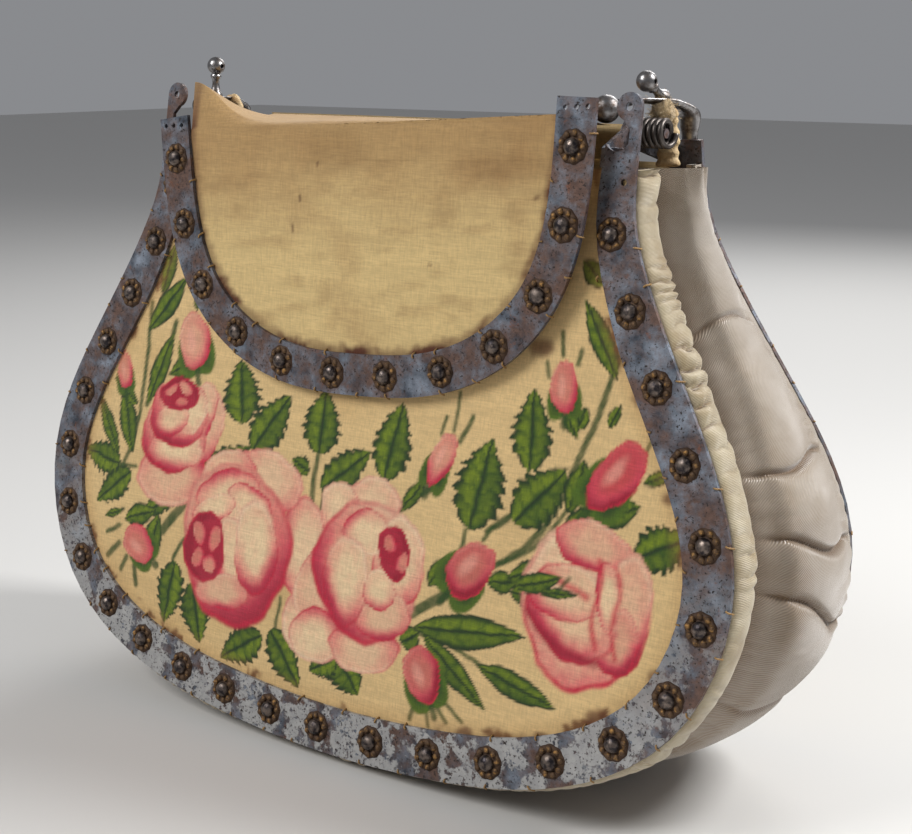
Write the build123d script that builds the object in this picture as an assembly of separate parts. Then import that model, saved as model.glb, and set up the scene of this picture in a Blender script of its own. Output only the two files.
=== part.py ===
from build123d import *
import os
from math import cos, exp, pi, radians, sin, tan

os.makedirs("parts", exist_ok=True)

# Reticule with two horseshoe frames of flat steel strip that lean together like
# the legs of an easel, a puffed satin gusset between them and a framed flap.
# Millimetres. X runs to the wearer's right, -Y is the painted front, +Z is up.
# Z = 0 is the surface that the bag stands on, and Y = 0 is midway between faces.

# Frame strip
strip_width = 10.9
strip_sheet = 1.0
arm_top = 136.0
arm_taper = 3.3
arm_taper_run = 40.0
strip_sides = 84
sheet_sides = 56

# Half of the strip's centre line, bottom middle to arm top, as (out, up) in the face
half_line = [
    (0, 0),
    (30.5, 1.7),
    (61, 7.7),
    (87, 24.6),
    (95, 51),
    (84.5, 79),
    (69.2, arm_top - 29.7),
    (63.9, arm_top - 15),
    (63.2, arm_top - 7),
    (63.1, arm_top),
]

# Stance: both faces lean in by the same angle, and the mouth is the gap at the ears
lean = 9.2
mouth_gap = 21.0
mouth_rise = 9.0
mouth_height = arm_top + mouth_rise

# Ears that end the front arms
ear_rise = 7.6
ear_height = arm_top + ear_rise
ear_radius = 2.9
ear_inset = 3.0
ear_hole = 1.7
neck_width = 2.3
neck_height = 3.0
notch_radius = 3.0
stray_hole_size = 1.4
stray_hole_inset = 2.4
stray_hole_drop = 7.5

# Cloth faces and their kid lining
panel_sheet = 1.0
panel_inset = 1.2
panel_drop = 5.0
panel_top = arm_top - panel_drop
tongue_rise = 8.0
back_panel_top = panel_top + tongue_rise
tongue_margin = 2.0
lining_sheet = 0.6
lining_inset = 2.6
lining_top_drop = 4.0

# Rosettes: a stamped washer under a domed rivet, both plain in the solids
rosette_radius = 3.7
rosette_height = 0.8
rosette_sides = 9
rosette_slope = 45
rivet_radius = 1.7
rivet_height = 1.3
rivet_sides = 6
rivet_slope = 32
rosette_start = -1.4
rosette_pitch_right = 16.4
rosette_pitch_left = 15.2
rosettes_right = 12
rosettes_left = 13

# Ruched silk roll behind each frame's outer edge
binding_depth = 8.0
back_binding_depth = 5.0
binding_rise = 2.5
binding_seat = 4.6
gathers = 44
gather_depth = 0.35
cloth_clearance = 0.3

# Satin gusset, a bellows with one deep valley and one broad puff
gusset_sheet = 1.0
valley_depth = 6.0
puff_height = 2.2
crease_depth = 2.2
crease_width = 0.012
creases = (0.20, 0.245, 0.30, 0.345, 0.42, 0.58, 0.655, 0.70, 0.755, 0.80)
gusset_top = panel_top
gusset_lining_sheet = 0.8

# Flap frame
flap_strip_width = 9.4
flap_line = [(0, -59.1), (23.7, -57.0), (38.2, -50.8), (49.2, -40.2), (55.2, -26), (57.6, -10), (58.4, 0)]
flap_drop = 4.0
flap_stand_off = 6.5
flap_tilt = 4.7
flap_skew = 3.5
flap_offset = -1.0
flap_sheet = 0.8
flap_rosettes = 12
flap_rosette_pitch = 15.8
flap_hole = 1.1
flap_hole_margin = 2.0

# Web of cloth from the flap's fold over the mouth to the back face
web_sheet = 0.8
web_left = -54.0
web_right = 49.0
web_arch = 2.0
web_peak = 5.0
web_peak_at = -50.0
web_peak_spread = 9.0
web_sag = 1.6

# Hinge at each top corner
pin_radius = 1.0
pin_play = 0.1
pin_head_radius = 1.9
pin_head = 0.9
pin_drop = 7.0
lug_sheet = 1.0
lug_gap = 0.2
lug_radius = 3.0
lug_foot = 5.0
lug_seat = 4.0
lug_overhang = 1.55
spring_wire = 0.65
spring_radius = 2.6
spring_turns = 5
spring_steps = 8
wire_sides = 4

# Stamped bow over each hinge, front bulb to back shoulder. Each section gives its
# distance in from the arm's outer edge, its depth as a share of half the mouth's gap
# at the pin, its height over the pin, and its half width and rise.
bow_sections = [
    (10.6, -0.72, 3.4, 1.7, 1.5),
    (10.1, -0.64, 6.0, 2.3, 2.0),
    (8.5, -0.31, 6.9, 2.1, 1.5),
    (6.5, 0.17, 7.0, 2.0, 1.3),
    (4.5, 0.70, 6.2, 2.4, 1.5),
    (3.3, 1.05, 3.8, 2.8, 1.6),
]
bow_hole_section = 4
bow_sides = 5
bow_hole = 1.4
bow_foot_sections = [(1.0, 2.0, 1.2), (-3.0, 1.8, 1.1), (-7.0, 1.5, 0.9)]
bow_foot_inset = 3.5
bow_seat = 0.4
bulb_radius = 2.9
bulb_height = 5.0
left_bow_shift = 2.0
left_bow_drop = 2.0

# Ball finials that once held the chain
ball_radius = 2.35
ball_bands = 7
ball_sides = 12
finial_length = 7.0
finial_neck = 0.9
finial_flare = 1.7
finial_eye = 1.0
right_finial_root = (5.7, 0.45, 7.2)
left_finial_root = (7.0, -0.07, 7.6)
left_finial_tilt = -4.0
right_finial_tilt = 62.0

# Kid tabs and the loose wadding at the hinges
tab_sheet = 0.7
tab_inset = 2.4
tab_rise = 3.8
tab_clearance = 1.0
tuft_radius = 2.1


def keep(name, shape):
    """Write one sub-part out under its node name."""
    export_step(shape, f"parts/{name}.step")


def sheet_of(face, thickness):
    """Flat sheet that rises from a face, or sinks below it where thickness is negative."""
    return extrude(face, abs(thickness), dir=(0, 0, 1 if thickness > 0 else -1))


lean_cos = cos(radians(lean))
lean_sin = sin(radians(lean))
lean_tan = tan(radians(lean))
base_height = binding_seat + binding_rise + gather_depth


def face_height(up):
    """World height of a place that lies this far up a leaning face."""
    return base_height + up * lean_cos


def half_gap(height):
    """Distance from the middle plane to either leaning face at a world height."""
    return mouth_gap / 2 + (face_height(mouth_height) - height) * lean_tan


front_face = Plane(
    origin=(0, -half_gap(base_height), base_height),
    x_dir=(1, 0, 0),
    z_dir=(0, -lean_cos, lean_sin),
)
back_face = Plane(
    origin=(0, half_gap(base_height), base_height),
    x_dir=(-1, 0, 0),
    z_dir=(0, lean_cos, lean_sin),
)


def mirrored_line(half):
    """Smooth U through the half outline and its mirror image, left arm to right arm."""
    left = [(-out, up) for out, up in reversed(half[1:])]
    return Spline(*left, *half)


centre_line = mirrored_line(half_line)
flap_centre_line = mirrored_line(flap_line)


def beside(line, share, offset):
    """Place at a share of a U's length, set off outward from the line."""
    place = line @ share
    along = line % share
    return Vector(place.X + along.Y * offset, place.Y - along.X * offset)


def edge_of(line, offset_at, count):
    """Edge of a strip or sheet, in short runs, as its outline is cut with snips."""
    places = []
    for step in range(count + 1):
        share = step / count
        places.append(beside(line, share, offset_at((line @ share).Y)))
    return Polyline(*places)


def strip_face(line, outer_at, inner_at):
    """Flat U-shaped face between two edges of a strip."""
    outer = edge_of(line, outer_at, strip_sides)
    inner = edge_of(line, inner_at, strip_sides)
    caps = [Line(outer @ 1, inner @ 1), Line(inner @ 0, outer @ 0)]
    return make_face([outer, inner, *caps])


def below(line, offset, top):
    """Face enclosed by a U, cut off level at a height."""
    rim = edge_of(line, lambda up: offset, sheet_sides)
    sheet = make_face([rim, Line(rim @ 1, rim @ 0)])
    return sheet - Pos(0, top + arm_top) * Rectangle(4 * arm_top, 2 * arm_top)


def outer_offset(up):
    return strip_width / 2


def inner_offset(up):
    taper = arm_taper * max(0, 1 - (arm_top - up) / arm_taper_run)
    return taper - strip_width / 2


frame_face = strip_face(centre_line, outer_offset, inner_offset)
arm_outer = (centre_line @ 1).X + strip_width / 2
arm_inner = (centre_line @ 1).X + inner_offset(arm_top)


def ear_face(side):
    """Neck and drop-shaped ear on the outer half of a front arm's end."""
    middle = arm_outer - ear_inset
    neck_inner = arm_outer - neck_width
    drop = Polygon(
        (neck_inner, arm_top - 0.5),
        (arm_outer, arm_top - 0.5),
        (middle + ear_radius, ear_height),
        (middle - ear_radius * 0.9, ear_height - 1.0),
        (neck_inner, arm_top + neck_height),
        align=None,
    )
    ear = drop + Pos(middle, ear_height) * Circle(ear_radius)
    ear -= Pos(middle, ear_height) * Circle(ear_hole / 2)
    return ear if side > 0 else mirror(ear, about=Plane.YZ)


def notch_face(side):
    """Rounded bite out of the inner half of a front arm's end."""
    return Pos(side * (arm_inner + notch_radius - 0.4), arm_top + 1.6) * Circle(notch_radius)


def on_face(plane, shape):
    return plane.location * shape


# Front frame
front_frame_face = frame_face
for side in (-1, 1):
    front_frame_face -= notch_face(side)
    front_frame_face += ear_face(side)
stray_hole = Pos(arm_outer - stray_hole_inset, arm_top - stray_hole_drop) * Circle(stray_hole_size / 2)
keep("front_frame", on_face(front_face, sheet_of(front_frame_face - stray_hole, strip_sheet)))
back_frame = on_face(back_face, sheet_of(frame_face, strip_sheet))
keep("back_frame", back_frame)


# Hinge lugs
def for_side(side, shape):
    """A right-hand shape as it stands, or its mirror image on the left."""
    return shape if side > 0 else mirror(shape, about=Plane.YZ)


pin_height = face_height(mouth_height) - pin_drop
front_lug_x = arm_inner - lug_overhang
back_lug_x = front_lug_x - lug_sheet - lug_gap


def lug(depth_side, inner_x):
    """Flat eye on the hinge pin, with a foot that lies on the arm's inner face."""
    low = face_height(panel_top) + cloth_clearance
    top = low + lug_seat
    cheek = Polygon(
        (depth_side * half_gap(top), top),
        (depth_side * half_gap(low), low),
        (0, pin_height - lug_radius),
        (0, pin_height + lug_radius),
        align=None,
    )
    cheek += Pos(0, pin_height) * Circle(lug_radius)
    cheek -= Pos(0, pin_height) * Circle(pin_radius + pin_play)
    foot = Polygon(
        (depth_side * half_gap(top), top),
        (depth_side * half_gap(low), low),
        (depth_side * (half_gap(low) - lug_sheet), low),
        (depth_side * (half_gap(top) - lug_sheet), top),
        align=None,
    )
    plate = extrude(Plane.YZ * cheek, lug_sheet, dir=(1, 0, 0))
    plate += extrude(Plane.YZ * foot, lug_foot, dir=(1, 0, 0))
    return Pos(inner_x, 0, 0) * plate


for side, name in ((-1, "left"), (1, "right")):
    keep(f"{name}_front_lug", for_side(side, lug(-1, front_lug_x)))
    keep(f"{name}_back_lug", for_side(side, lug(1, back_lug_x)))


# Rosettes and their rivets
def rosette_shares():
    """Shares of the frame's length at which the rosettes sit."""
    length = centre_line.length
    middle = 0.5 + rosette_start / length
    right = [middle + n * rosette_pitch_right / length for n in range(rosettes_right + 1)]
    left = [middle - n * rosette_pitch_left / length for n in range(1, rosettes_left + 1)]
    return sorted(left + right)


def flap_rosette_shares():
    """Shares of the flap frame's length, set out evenly from the middle."""
    length = flap_centre_line.length
    first = 0.5 - (flap_rosettes - 1) / 2 * flap_rosette_pitch / length
    return [first + n * flap_rosette_pitch / length for n in range(flap_rosettes)]


def along_line(plane, line, shares, piece, height):
    """Copies of a piece set out along a strip, at a height over the strip's inner face."""
    copies = []
    for share in shares:
        place = line @ share
        copies.append(Pos(place.X, place.Y, height) * piece)
    return on_face(plane, Compound(copies))


def rosettes(plane, line, shares):
    washer = extrude(RegularPolygon(rosette_radius, rosette_sides), rosette_height, taper=rosette_slope)
    return along_line(plane, line, shares, washer, strip_sheet)


def rivets(plane, line, shares):
    dome = extrude(RegularPolygon(rivet_radius, rivet_sides), rivet_height, taper=rivet_slope)
    return along_line(plane, line, shares, dome, strip_sheet + rosette_height)


for name, face in (("front", front_face), ("back", back_face)):
    keep(f"{name}_rosettes", rosettes(face, centre_line, rosette_shares()))
    keep(f"{name}_rivets", rivets(face, centre_line, rosette_shares()))

# Cloth faces and lining
panel_offset = strip_width / 2 - panel_inset
lining_offset = strip_width / 2 - lining_inset
panel_flat = below(centre_line, panel_offset, panel_top)
lining_flat = below(centre_line, lining_offset, panel_top - lining_top_drop)
tongue_height = 2 * tongue_rise
tongue = Pos(0, panel_top) * Rectangle(web_right - web_left + 2 * tongue_margin, tongue_height)
for name, face, flat in (("front", front_face, panel_flat), ("back", back_face, panel_flat + tongue)):
    keep(f"{name}_panel", on_face(face, sheet_of(flat, -panel_sheet)))
    keep(f"{name}_lining", on_face(face, Pos(0, 0, -panel_sheet) * sheet_of(lining_flat, -lining_sheet)))


# Soft pieces that run round the U between the faces
def outline_place(share, offset):
    """World X and Z of a place beside the strip's centre line."""
    place = beside(centre_line, share, offset)
    return place.X, face_height(place.Y)


def band(section, first, last, count):
    """Solid drawn along the U from closed sections of (Y, offset) places."""
    wires = []
    for step in range(count + 1):
        share = first + (last - first) * step / count
        corners = []
        for depth_at, offset in section(share):
            out, height = outline_place(share, offset)
            corners.append((out, depth_at(height), height))
        wires.append(Wire.make_polygon(corners, close=True))
    return Solid.make_loft(wires, ruled=True)


def share_at(up):
    """Share of the U's length at which its left arm passes a height."""
    low, high = 0.0, 0.5
    for _ in range(40):
        middle = (low + high) / 2
        if (centre_line @ middle).Y > up:
            low = middle
        else:
            high = middle
    return low


band_start = share_at(gusset_top)


def gather(share):
    """Rise and fall of the ruching along the roll, deeper where it bunches."""
    bunch = 0.55 + 0.45 * sin(2 * pi * 5 * share + 0.6)
    return gather_depth * bunch * cos(2 * pi * gathers * share)


def roll_section(face_side, depth):
    """Half-round section of a silk roll that lies against one frame's inner side."""

    def section(share):
        corners = []
        for step in range(7):
            turn = pi * step / 6
            inward = depth / 2 * (1 - cos(turn))
            offset = binding_seat + binding_rise * sin(turn) + gather(share) * sin(turn)

            def depth_at(height, inward=inward):
                return face_side * (half_gap(height) - inward)

            corners.append((depth_at, offset))
        return corners

    return section


keep("front_binding", band(roll_section(-1, binding_depth), band_start, 1 - band_start, 88))
keep("back_binding", band(roll_section(1, back_binding_depth), band_start, 1 - band_start, 88))

# Section of the gusset from front roll to back roll, as (share of the depth, rise)
gusset_profile = [
    (0.0, 0.0),
    (0.07, -0.7),
    (0.16, -1.0),
    (0.28, -0.45),
    (0.42, 0.35),
    (0.6, 0.95),
    (0.78, 0.95),
    (0.92, 0.5),
    (1.0, 0.0),
]


def crease(share):
    """How far the satin is pinched in at a place along the U."""
    return sum(exp(-(((share - at) / crease_width) ** 2)) for at in creases)


def gusset_offset(share, rise):
    if rise < 0:
        return binding_seat - 0.2 + rise * valley_depth
    puff = puff_height * (1 - 0.35 * exp(-(((share - 0.5) / 0.16) ** 2)))
    return binding_seat - 0.2 + rise * puff - rise * crease(share) * crease_depth


def across(part):
    """Depth between the two silk rolls, as a share from front to back."""

    def depth_at(height):
        front = -half_gap(height) + binding_depth + cloth_clearance
        back = half_gap(height) - back_binding_depth - cloth_clearance
        return front + (back - front) * part

    return depth_at


def gusset_section(share):
    outer = [(across(part), gusset_offset(share, rise)) for part, rise in gusset_profile]
    inner = [(across(part), gusset_offset(share, rise) - gusset_sheet) for part, rise in gusset_profile]
    return outer + inner[::-1]


keep("gusset", band(gusset_section, band_start, 1 - band_start, 50))

# Section of the lining inside it, as (share of the depth, drop from the roll's seat)
lining_profile = [
    (0.0, -2.1),
    (0.05, -6.6),
    (0.16, -8.8),
    (0.28, -7.4),
    (0.5, -5.0),
    (0.86, -4.6),
    (1.0, -2.1),
]


def lining_section(share):
    outer = [(across(part), binding_seat + drop) for part, drop in lining_profile]
    inner = [(across(part), binding_seat + drop - gusset_lining_sheet) for part, drop in lining_profile]
    return outer + inner[::-1]


keep("gusset_lining", band(lining_section, band_start, 1 - band_start, 28))

# Flap frame and cloth. Its plane hangs nearly upright from the fold over the mouth.
flap_lean = lean - flap_tilt
fold_up = mouth_height - flap_drop
fold_y = -half_gap(face_height(fold_up)) - flap_stand_off * lean_cos
fold_z = face_height(fold_up) + flap_stand_off * lean_sin
flap_face = Plane(
    origin=(0, fold_y, fold_z),
    x_dir=(1, 0, 0),
    z_dir=(0, -cos(radians(flap_lean)), sin(radians(flap_lean))),
)
flap_place = flap_face.location * Pos(flap_offset, 0, 0) * Rot(0, 0, flap_skew)


def flap_outer(up):
    return flap_strip_width / 2


def flap_inner(up):
    return -flap_strip_width / 2


flap_flat = strip_face(flap_centre_line, flap_outer, flap_inner)
for side in (-1, 1):
    for step in (-1, 0, 1):
        across_arm = side * flap_line[-1][0] + step * (flap_strip_width / 2 - flap_hole_margin)
        flap_flat -= Pos(across_arm, -flap_hole_margin) * Circle(flap_hole / 2)
keep("flap_frame", flap_place * sheet_of(flap_flat, strip_sheet))


def on_flap(shape):
    return flap_place * shape


flap_washers = rosettes(Plane.XY, flap_centre_line, flap_rosette_shares())
flap_domes = rivets(Plane.XY, flap_centre_line, flap_rosette_shares())
keep("flap_rosettes", on_flap(flap_washers))
keep("flap_rivets", on_flap(flap_domes))
flap_cloth = below(flap_centre_line, flap_strip_width / 2 - panel_inset, -cloth_clearance)
keep("flap_panel", on_flap(sheet_of(flap_cloth, -flap_sheet)))


# Web over the mouth, drawn from left to right as thin arched sections
def web_wire(out):
    """Arched section of the web at one place along the mouth."""
    peak = web_peak * exp(-(((out - web_peak_at) / web_peak_spread) ** 2))
    skew_rise = (out - flap_offset) * sin(radians(flap_skew))
    front_y = fold_y + cloth_clearance + flap_sheet
    back_z = face_height(back_panel_top) - panel_sheet * lean_sin
    back_y = half_gap(back_z) - panel_sheet
    top = []
    for step in range(7):
        part = step / 6
        front_z = fold_z + 1.0 + skew_rise
        height = front_z + (back_z + web_sheet + 0.4 - front_z) * part
        height += (web_arch - web_sag * part) * sin(pi * part) + peak * (1 - part) ** 1.5
        top.append((out, front_y + (back_y - front_y) * part, height))
    under = [(x, y, z - web_sheet) for x, y, z in reversed(top)]
    return Wire.make_polygon(top + under, close=True)


web_steps = 14
web_places = [web_left + (web_right - web_left) * n / web_steps for n in range(web_steps + 1)]
keep("flap_web", Solid.make_loft([web_wire(out) for out in web_places], ruled=True))


# Hinge pins and springs
pin_inner = back_lug_x
spring_start = front_lug_x + lug_sheet + lug_gap + spring_wire
spring_length = spring_turns * 2 * spring_wire * 1.04
pin_end = spring_start + spring_length - spring_wire


def hinge_pin():
    length = pin_end - pin_inner
    stem = Pos(pin_inner, 0, pin_height) * Rot(0, 90, 0) * Cylinder(
        pin_radius, length, align=(Align.CENTER, Align.CENTER, Align.MIN)
    )
    head = Pos(pin_inner - pin_head, 0, pin_height) * Rot(0, 90, 0) * Cylinder(
        pin_head_radius, pin_head, align=(Align.CENTER, Align.CENTER, Align.MIN)
    )
    return stem + head


def hinge_spring():
    """Close coil round the pin, drawn through few-sided sections of its wire."""
    sections = []
    steps = spring_turns * spring_steps
    for step in range(steps + 1):
        turn = 2 * pi * step / spring_steps
        corners = []
        for corner in range(wire_sides):
            angle = 2 * pi * corner / wire_sides
            radius = spring_radius + spring_wire * cos(angle)
            out = spring_start + spring_length * step / steps + spring_wire * sin(angle)
            corners.append((out, radius * cos(turn), pin_height + radius * sin(turn)))
        sections.append(Wire.make_polygon(corners, close=True))
    return Solid.make_loft(sections, ruled=True)


for side, name in ((-1, "left"), (1, "right")):
    keep(f"{name}_hinge_pin", for_side(side, hinge_pin()))
    keep(f"{name}_hinge_spring", for_side(side, hinge_spring()))


# Bows
def at_pin(inset, depth_share, rise):
    """Place measured in from the arm's outer edge, across the mouth and up from the pin."""
    return Vector(arm_outer - inset, depth_share * half_gap(pin_height), pin_height + rise)


def bow_path():
    """Section places of a bow, ending on the back arm's outer face."""
    places = [(at_pin(inset, share, rise), half, tall) for inset, share, rise, half, tall in bow_sections]
    for above_end, half, tall in bow_foot_sections:
        on_arm = Pos(bow_foot_inset - arm_outer, arm_top + above_end, strip_sheet + bow_seat)
        places.append(((back_face.location * on_arm).position, half, tall))
    return places


def turned_ball(radius):
    """Ball in a few flat-sided bands, with its poles on Z."""
    rings = []
    for step in range(ball_bands):
        fall = pi * (step + 0.5) / ball_bands
        ring = []
        for side in range(ball_sides):
            turn = 2 * pi * side / ball_sides
            ring.append((radius * sin(fall) * cos(turn), radius * sin(fall) * sin(turn), -radius * cos(fall)))
        rings.append(Wire.make_polygon(ring, close=True))
    return Solid.make_loft(rings, ruled=True)


def bow():
    """Half-round arch, flat inside, with a bulb at its front shoulder."""
    places = bow_path()
    spine = Spline(*[place for place, _, _ in places])
    sections = []
    for place, half, tall in places:
        along = spine % spine.param_at_point(place)
        level = (Vector(1, 0, 0) - along * along.X).normalized()
        rise = level.cross(along)
        corners = []
        for step in range(bow_sides + 1):
            turn = pi * step / bow_sides
            corners.append(place + level * (half * cos(turn)) + rise * (tall * sin(turn)))
        sections.append(Wire.make_polygon(corners, close=True))
    arch = Solid.make_loft(sections, ruled=True)
    hole_place = places[bow_hole_section][0]
    arch -= Pos(*hole_place) * Cylinder(bow_hole / 2, 4 * bulb_radius)
    inset, depth_share, *_ = bow_sections[0]
    return arch + Pos(*at_pin(inset, depth_share, bulb_height)) * turned_ball(bulb_radius)


def main_part(shape):
    """The largest solid of a shape that has been cut to sit on its neighbour."""
    return shape.solids().sort_by(SortBy.VOLUME)[-1]


left_drop = Pos(-left_bow_shift, left_bow_drop * lean_tan, -left_bow_drop)
right_bow = bow()
left_bow = left_drop * mirror(right_bow, about=Plane.YZ)
keep("right_bow", right_bow)
keep("left_bow", left_bow)


# Finials
def finial():
    """Ball with a cross hole on a flared neck, standing on its own base."""
    profile = Polyline(
        (0, 0),
        (finial_flare, 0),
        (finial_neck, finial_length * 0.45),
        (finial_neck, finial_length),
        (0, finial_length),
        (0, 0),
    )
    neck = revolve(Plane.XZ * make_face(profile), Axis.Z)
    ball = Pos(0, 0, finial_length) * turned_ball(ball_radius)
    eye = Pos(0, 0, finial_length) * Rot(0, 90, 0) * Cylinder(finial_eye / 2, 3 * ball_radius)
    return neck + ball - eye


right_finial = Pos(*at_pin(*right_finial_root)) * Rot(right_finial_tilt, 0, 0) * finial()
left_root = at_pin(*left_finial_root)
left_finial = left_drop * Pos(-left_root.X, left_root.Y, left_root.Z) * Rot(0, -left_finial_tilt, 0) * finial()
keep("right_finial", main_part(right_finial - right_bow))
keep("left_finial", main_part(left_finial - left_bow))

# Kid tabs behind the springs, and the wadding that has come out on the right
tab_x = arm_inner + tab_inset
tab_low = face_height(gusset_top)
tab_high = pin_height + tab_rise
behind_spring = spring_radius + spring_wire + tab_clearance
tab_back = half_gap(tab_high) - panel_sheet - tab_clearance
tab_profile = Polygon(
    (-spring_radius, tab_low),
    (tab_back, tab_low),
    (tab_back, tab_high),
    (behind_spring, tab_high),
    (behind_spring, pin_height - behind_spring),
    (-spring_radius, pin_height - behind_spring),
    align=None,
)
tab = Pos(tab_x, 0, 0) * extrude(Plane.YZ * tab_profile, tab_sheet, dir=(1, 0, 0))
for side, name in ((-1, "left"), (1, "right")):
    keep(f"{name}_lining_tab", for_side(side, tab))
tuft_place = Pos(tab_x + tab_sheet / 2, behind_spring, tab_high)
keep("right_wadding", tuft_place * turned_ball(tuft_radius) - tab)
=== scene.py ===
import bpy
import numpy as np
from math import asin, cos, exp, pi, radians, sin
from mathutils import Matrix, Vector


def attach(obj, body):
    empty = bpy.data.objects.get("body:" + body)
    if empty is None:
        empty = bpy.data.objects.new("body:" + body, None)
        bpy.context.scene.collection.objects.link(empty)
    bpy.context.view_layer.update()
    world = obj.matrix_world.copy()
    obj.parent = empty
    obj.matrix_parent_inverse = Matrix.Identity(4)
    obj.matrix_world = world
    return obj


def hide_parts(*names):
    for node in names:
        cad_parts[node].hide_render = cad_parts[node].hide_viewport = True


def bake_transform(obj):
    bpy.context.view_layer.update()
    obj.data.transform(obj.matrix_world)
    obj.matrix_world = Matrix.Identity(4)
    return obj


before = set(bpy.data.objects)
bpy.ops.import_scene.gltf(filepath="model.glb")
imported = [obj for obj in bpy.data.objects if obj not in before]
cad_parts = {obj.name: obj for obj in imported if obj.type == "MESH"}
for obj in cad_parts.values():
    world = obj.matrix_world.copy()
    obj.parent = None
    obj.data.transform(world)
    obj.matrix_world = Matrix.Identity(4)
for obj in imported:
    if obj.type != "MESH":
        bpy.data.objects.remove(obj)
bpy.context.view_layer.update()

# Camera, floor and light. The bag stands on a pale studio floor and is seen from a
# little above its right-hand corner, with a large soft lamp over the painted front.
camera_data = bpy.data.cameras.new("camera")
camera_data.lens = 67.1
camera_data.sensor_width = 36.0
camera_data.clip_start = 0.02
camera = bpy.data.objects.new("camera", camera_data)
camera.location = (0.2507, -0.3047, 0.1618)
camera.rotation_euler = (radians(77.58), 0, radians(38.02))
bpy.context.scene.collection.objects.link(camera)
bpy.context.scene.camera = camera
bpy.context.scene.view_settings.view_transform = "Standard"

bpy.ops.mesh.primitive_plane_add(size=6, location=(0, 0, 0))
floor_sheet = bpy.context.object
floor_sheet.name = "studio_floor"
floor_paint = bpy.data.materials.new("floor_paint")
floor_paint.use_nodes = True
floor_shader = floor_paint.node_tree.nodes["Principled BSDF"]
floor_shader.inputs["Base Color"].default_value = (0.62, 0.61, 0.59, 1)
floor_shader.inputs["Roughness"].default_value = 0.8
floor_sheet.data.materials.append(floor_paint)

sky = bpy.data.worlds.new("studio")
bpy.context.scene.world = sky
sky.use_nodes = True
sky.node_tree.nodes["Background"].inputs["Color"].default_value = (0.93, 0.95, 1.0, 1)
sky.node_tree.nodes["Background"].inputs["Strength"].default_value = 0.27


def lamp(name, place, aim, size, power):
    """Square soft lamp that points at a place on the bag."""
    data = bpy.data.lights.new(name, "AREA")
    data.size = size
    data.energy = power
    obj = bpy.data.objects.new(name, data)
    obj.location = place
    obj.rotation_euler = (Vector(aim) - Vector(place)).to_track_quat("-Z", "Y").to_euler()
    bpy.context.scene.collection.objects.link(obj)


lamp("main_lamp", (-0.35, -0.75, 0.75), (0, 0, 0.07), 0.5, 7.4)
lamp("side_lamp", (0.36, 0.2, 0.44), (0.06, 0, 0.1), 0.16, 3.2)
lamp("back_lamp", (-0.2, 0.8, 0.6), (0, 0, 0.08), 0.5, 4.0)

# Front and back frames. Each is one horseshoe cut from thin steel sheet with snips,
# blued, and long since gone to mauve rust, with plating flaking off round the base.
LEAN = radians(9.2)
BASE = 7.45
HALF_GAP = 33.68


def front_at(out, up, off=0.0):
    """Place on the front face: across, up the face, and off its cloth, in mm."""
    return (out, -HALF_GAP + up * sin(LEAN) - off * cos(LEAN), BASE + up * cos(LEAN) + off * sin(LEAN))


def back_at(out, up, off=0.0):
    """The same on the back face, which leans the other way."""
    return (out, HALF_GAP - up * sin(LEAN) + off * cos(LEAN), BASE + up * cos(LEAN) + off * sin(LEAN))


def rgb(red, green, blue):
    """Colour as it looks on a screen, 0 to 255, as the shaders want it."""
    return tuple((c / 255) ** 2.2 for c in (red, green, blue)) + (1.0,)


def finish(name, roughness, metallic=0.0, sheen=0.0):
    """New material with its shader's plain settings."""
    made = bpy.data.materials.new(name)
    made.use_nodes = True
    shader = made.node_tree.nodes["Principled BSDF"]
    shader.inputs["Roughness"].default_value = roughness
    shader.inputs["Metallic"].default_value = metallic
    shader.inputs["Sheen Weight"].default_value = sheen
    return made


def put(material, kind, links=(), **settings):
    """Add a node, with its named inputs linked or set."""
    node = material.node_tree.nodes.new(kind)
    for key, value in settings.items():
        setattr(node, key, value)
    for socket, value in dict(links).items():
        target = node.inputs[socket]
        if isinstance(value, bpy.types.NodeSocket):
            material.node_tree.links.new(value, target)
        else:
            target.default_value = value
    return node


def where(material):
    """Place on the piece, in metres."""
    return put(material, "ShaderNodeTexCoord").outputs["Object"]


def speckle(material, scale, detail=4.0, rough=0.55, place=None):
    """Cloudy noise over the piece; scale is in spots per metre."""
    place = place or where(material)
    return put(
        material,
        "ShaderNodeTexNoise",
        {"Vector": place, "Scale": scale, "Detail": detail, "Roughness": rough},
    ).outputs["Fac"]


def between(material, value, low, high, to_low=0.0, to_high=1.0):
    """Spread a value from a narrow range to a wide one, held at both ends."""
    return put(
        material,
        "ShaderNodeMapRange",
        {"Value": value, "From Min": low, "From Max": high, "To Min": to_low, "To Max": to_high},
    ).outputs["Result"]


def tint(material, share, first, second):
    """Blend two colours, or sockets of colour, by a share."""
    node = put(material, "ShaderNodeMix", data_type="RGBA")
    for socket, value in ((0, share), (6, first), (7, second)):
        if isinstance(value, bpy.types.NodeSocket):
            material.node_tree.links.new(value, node.inputs[socket])
        else:
            node.inputs[socket].default_value = value
    return node.outputs[2]


def mottled(material, noise, low, high, first, second):
    """Two colours in patches, where the noise passes from low to high."""
    return tint(material, between(material, noise, low, high), first, second)


def times(material, first, second, operation="MULTIPLY"):
    """Two values multiplied, or joined by another operation."""
    return put(material, "ShaderNodeMath", {0: first, 1: second}, operation=operation).outputs[0]


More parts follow.
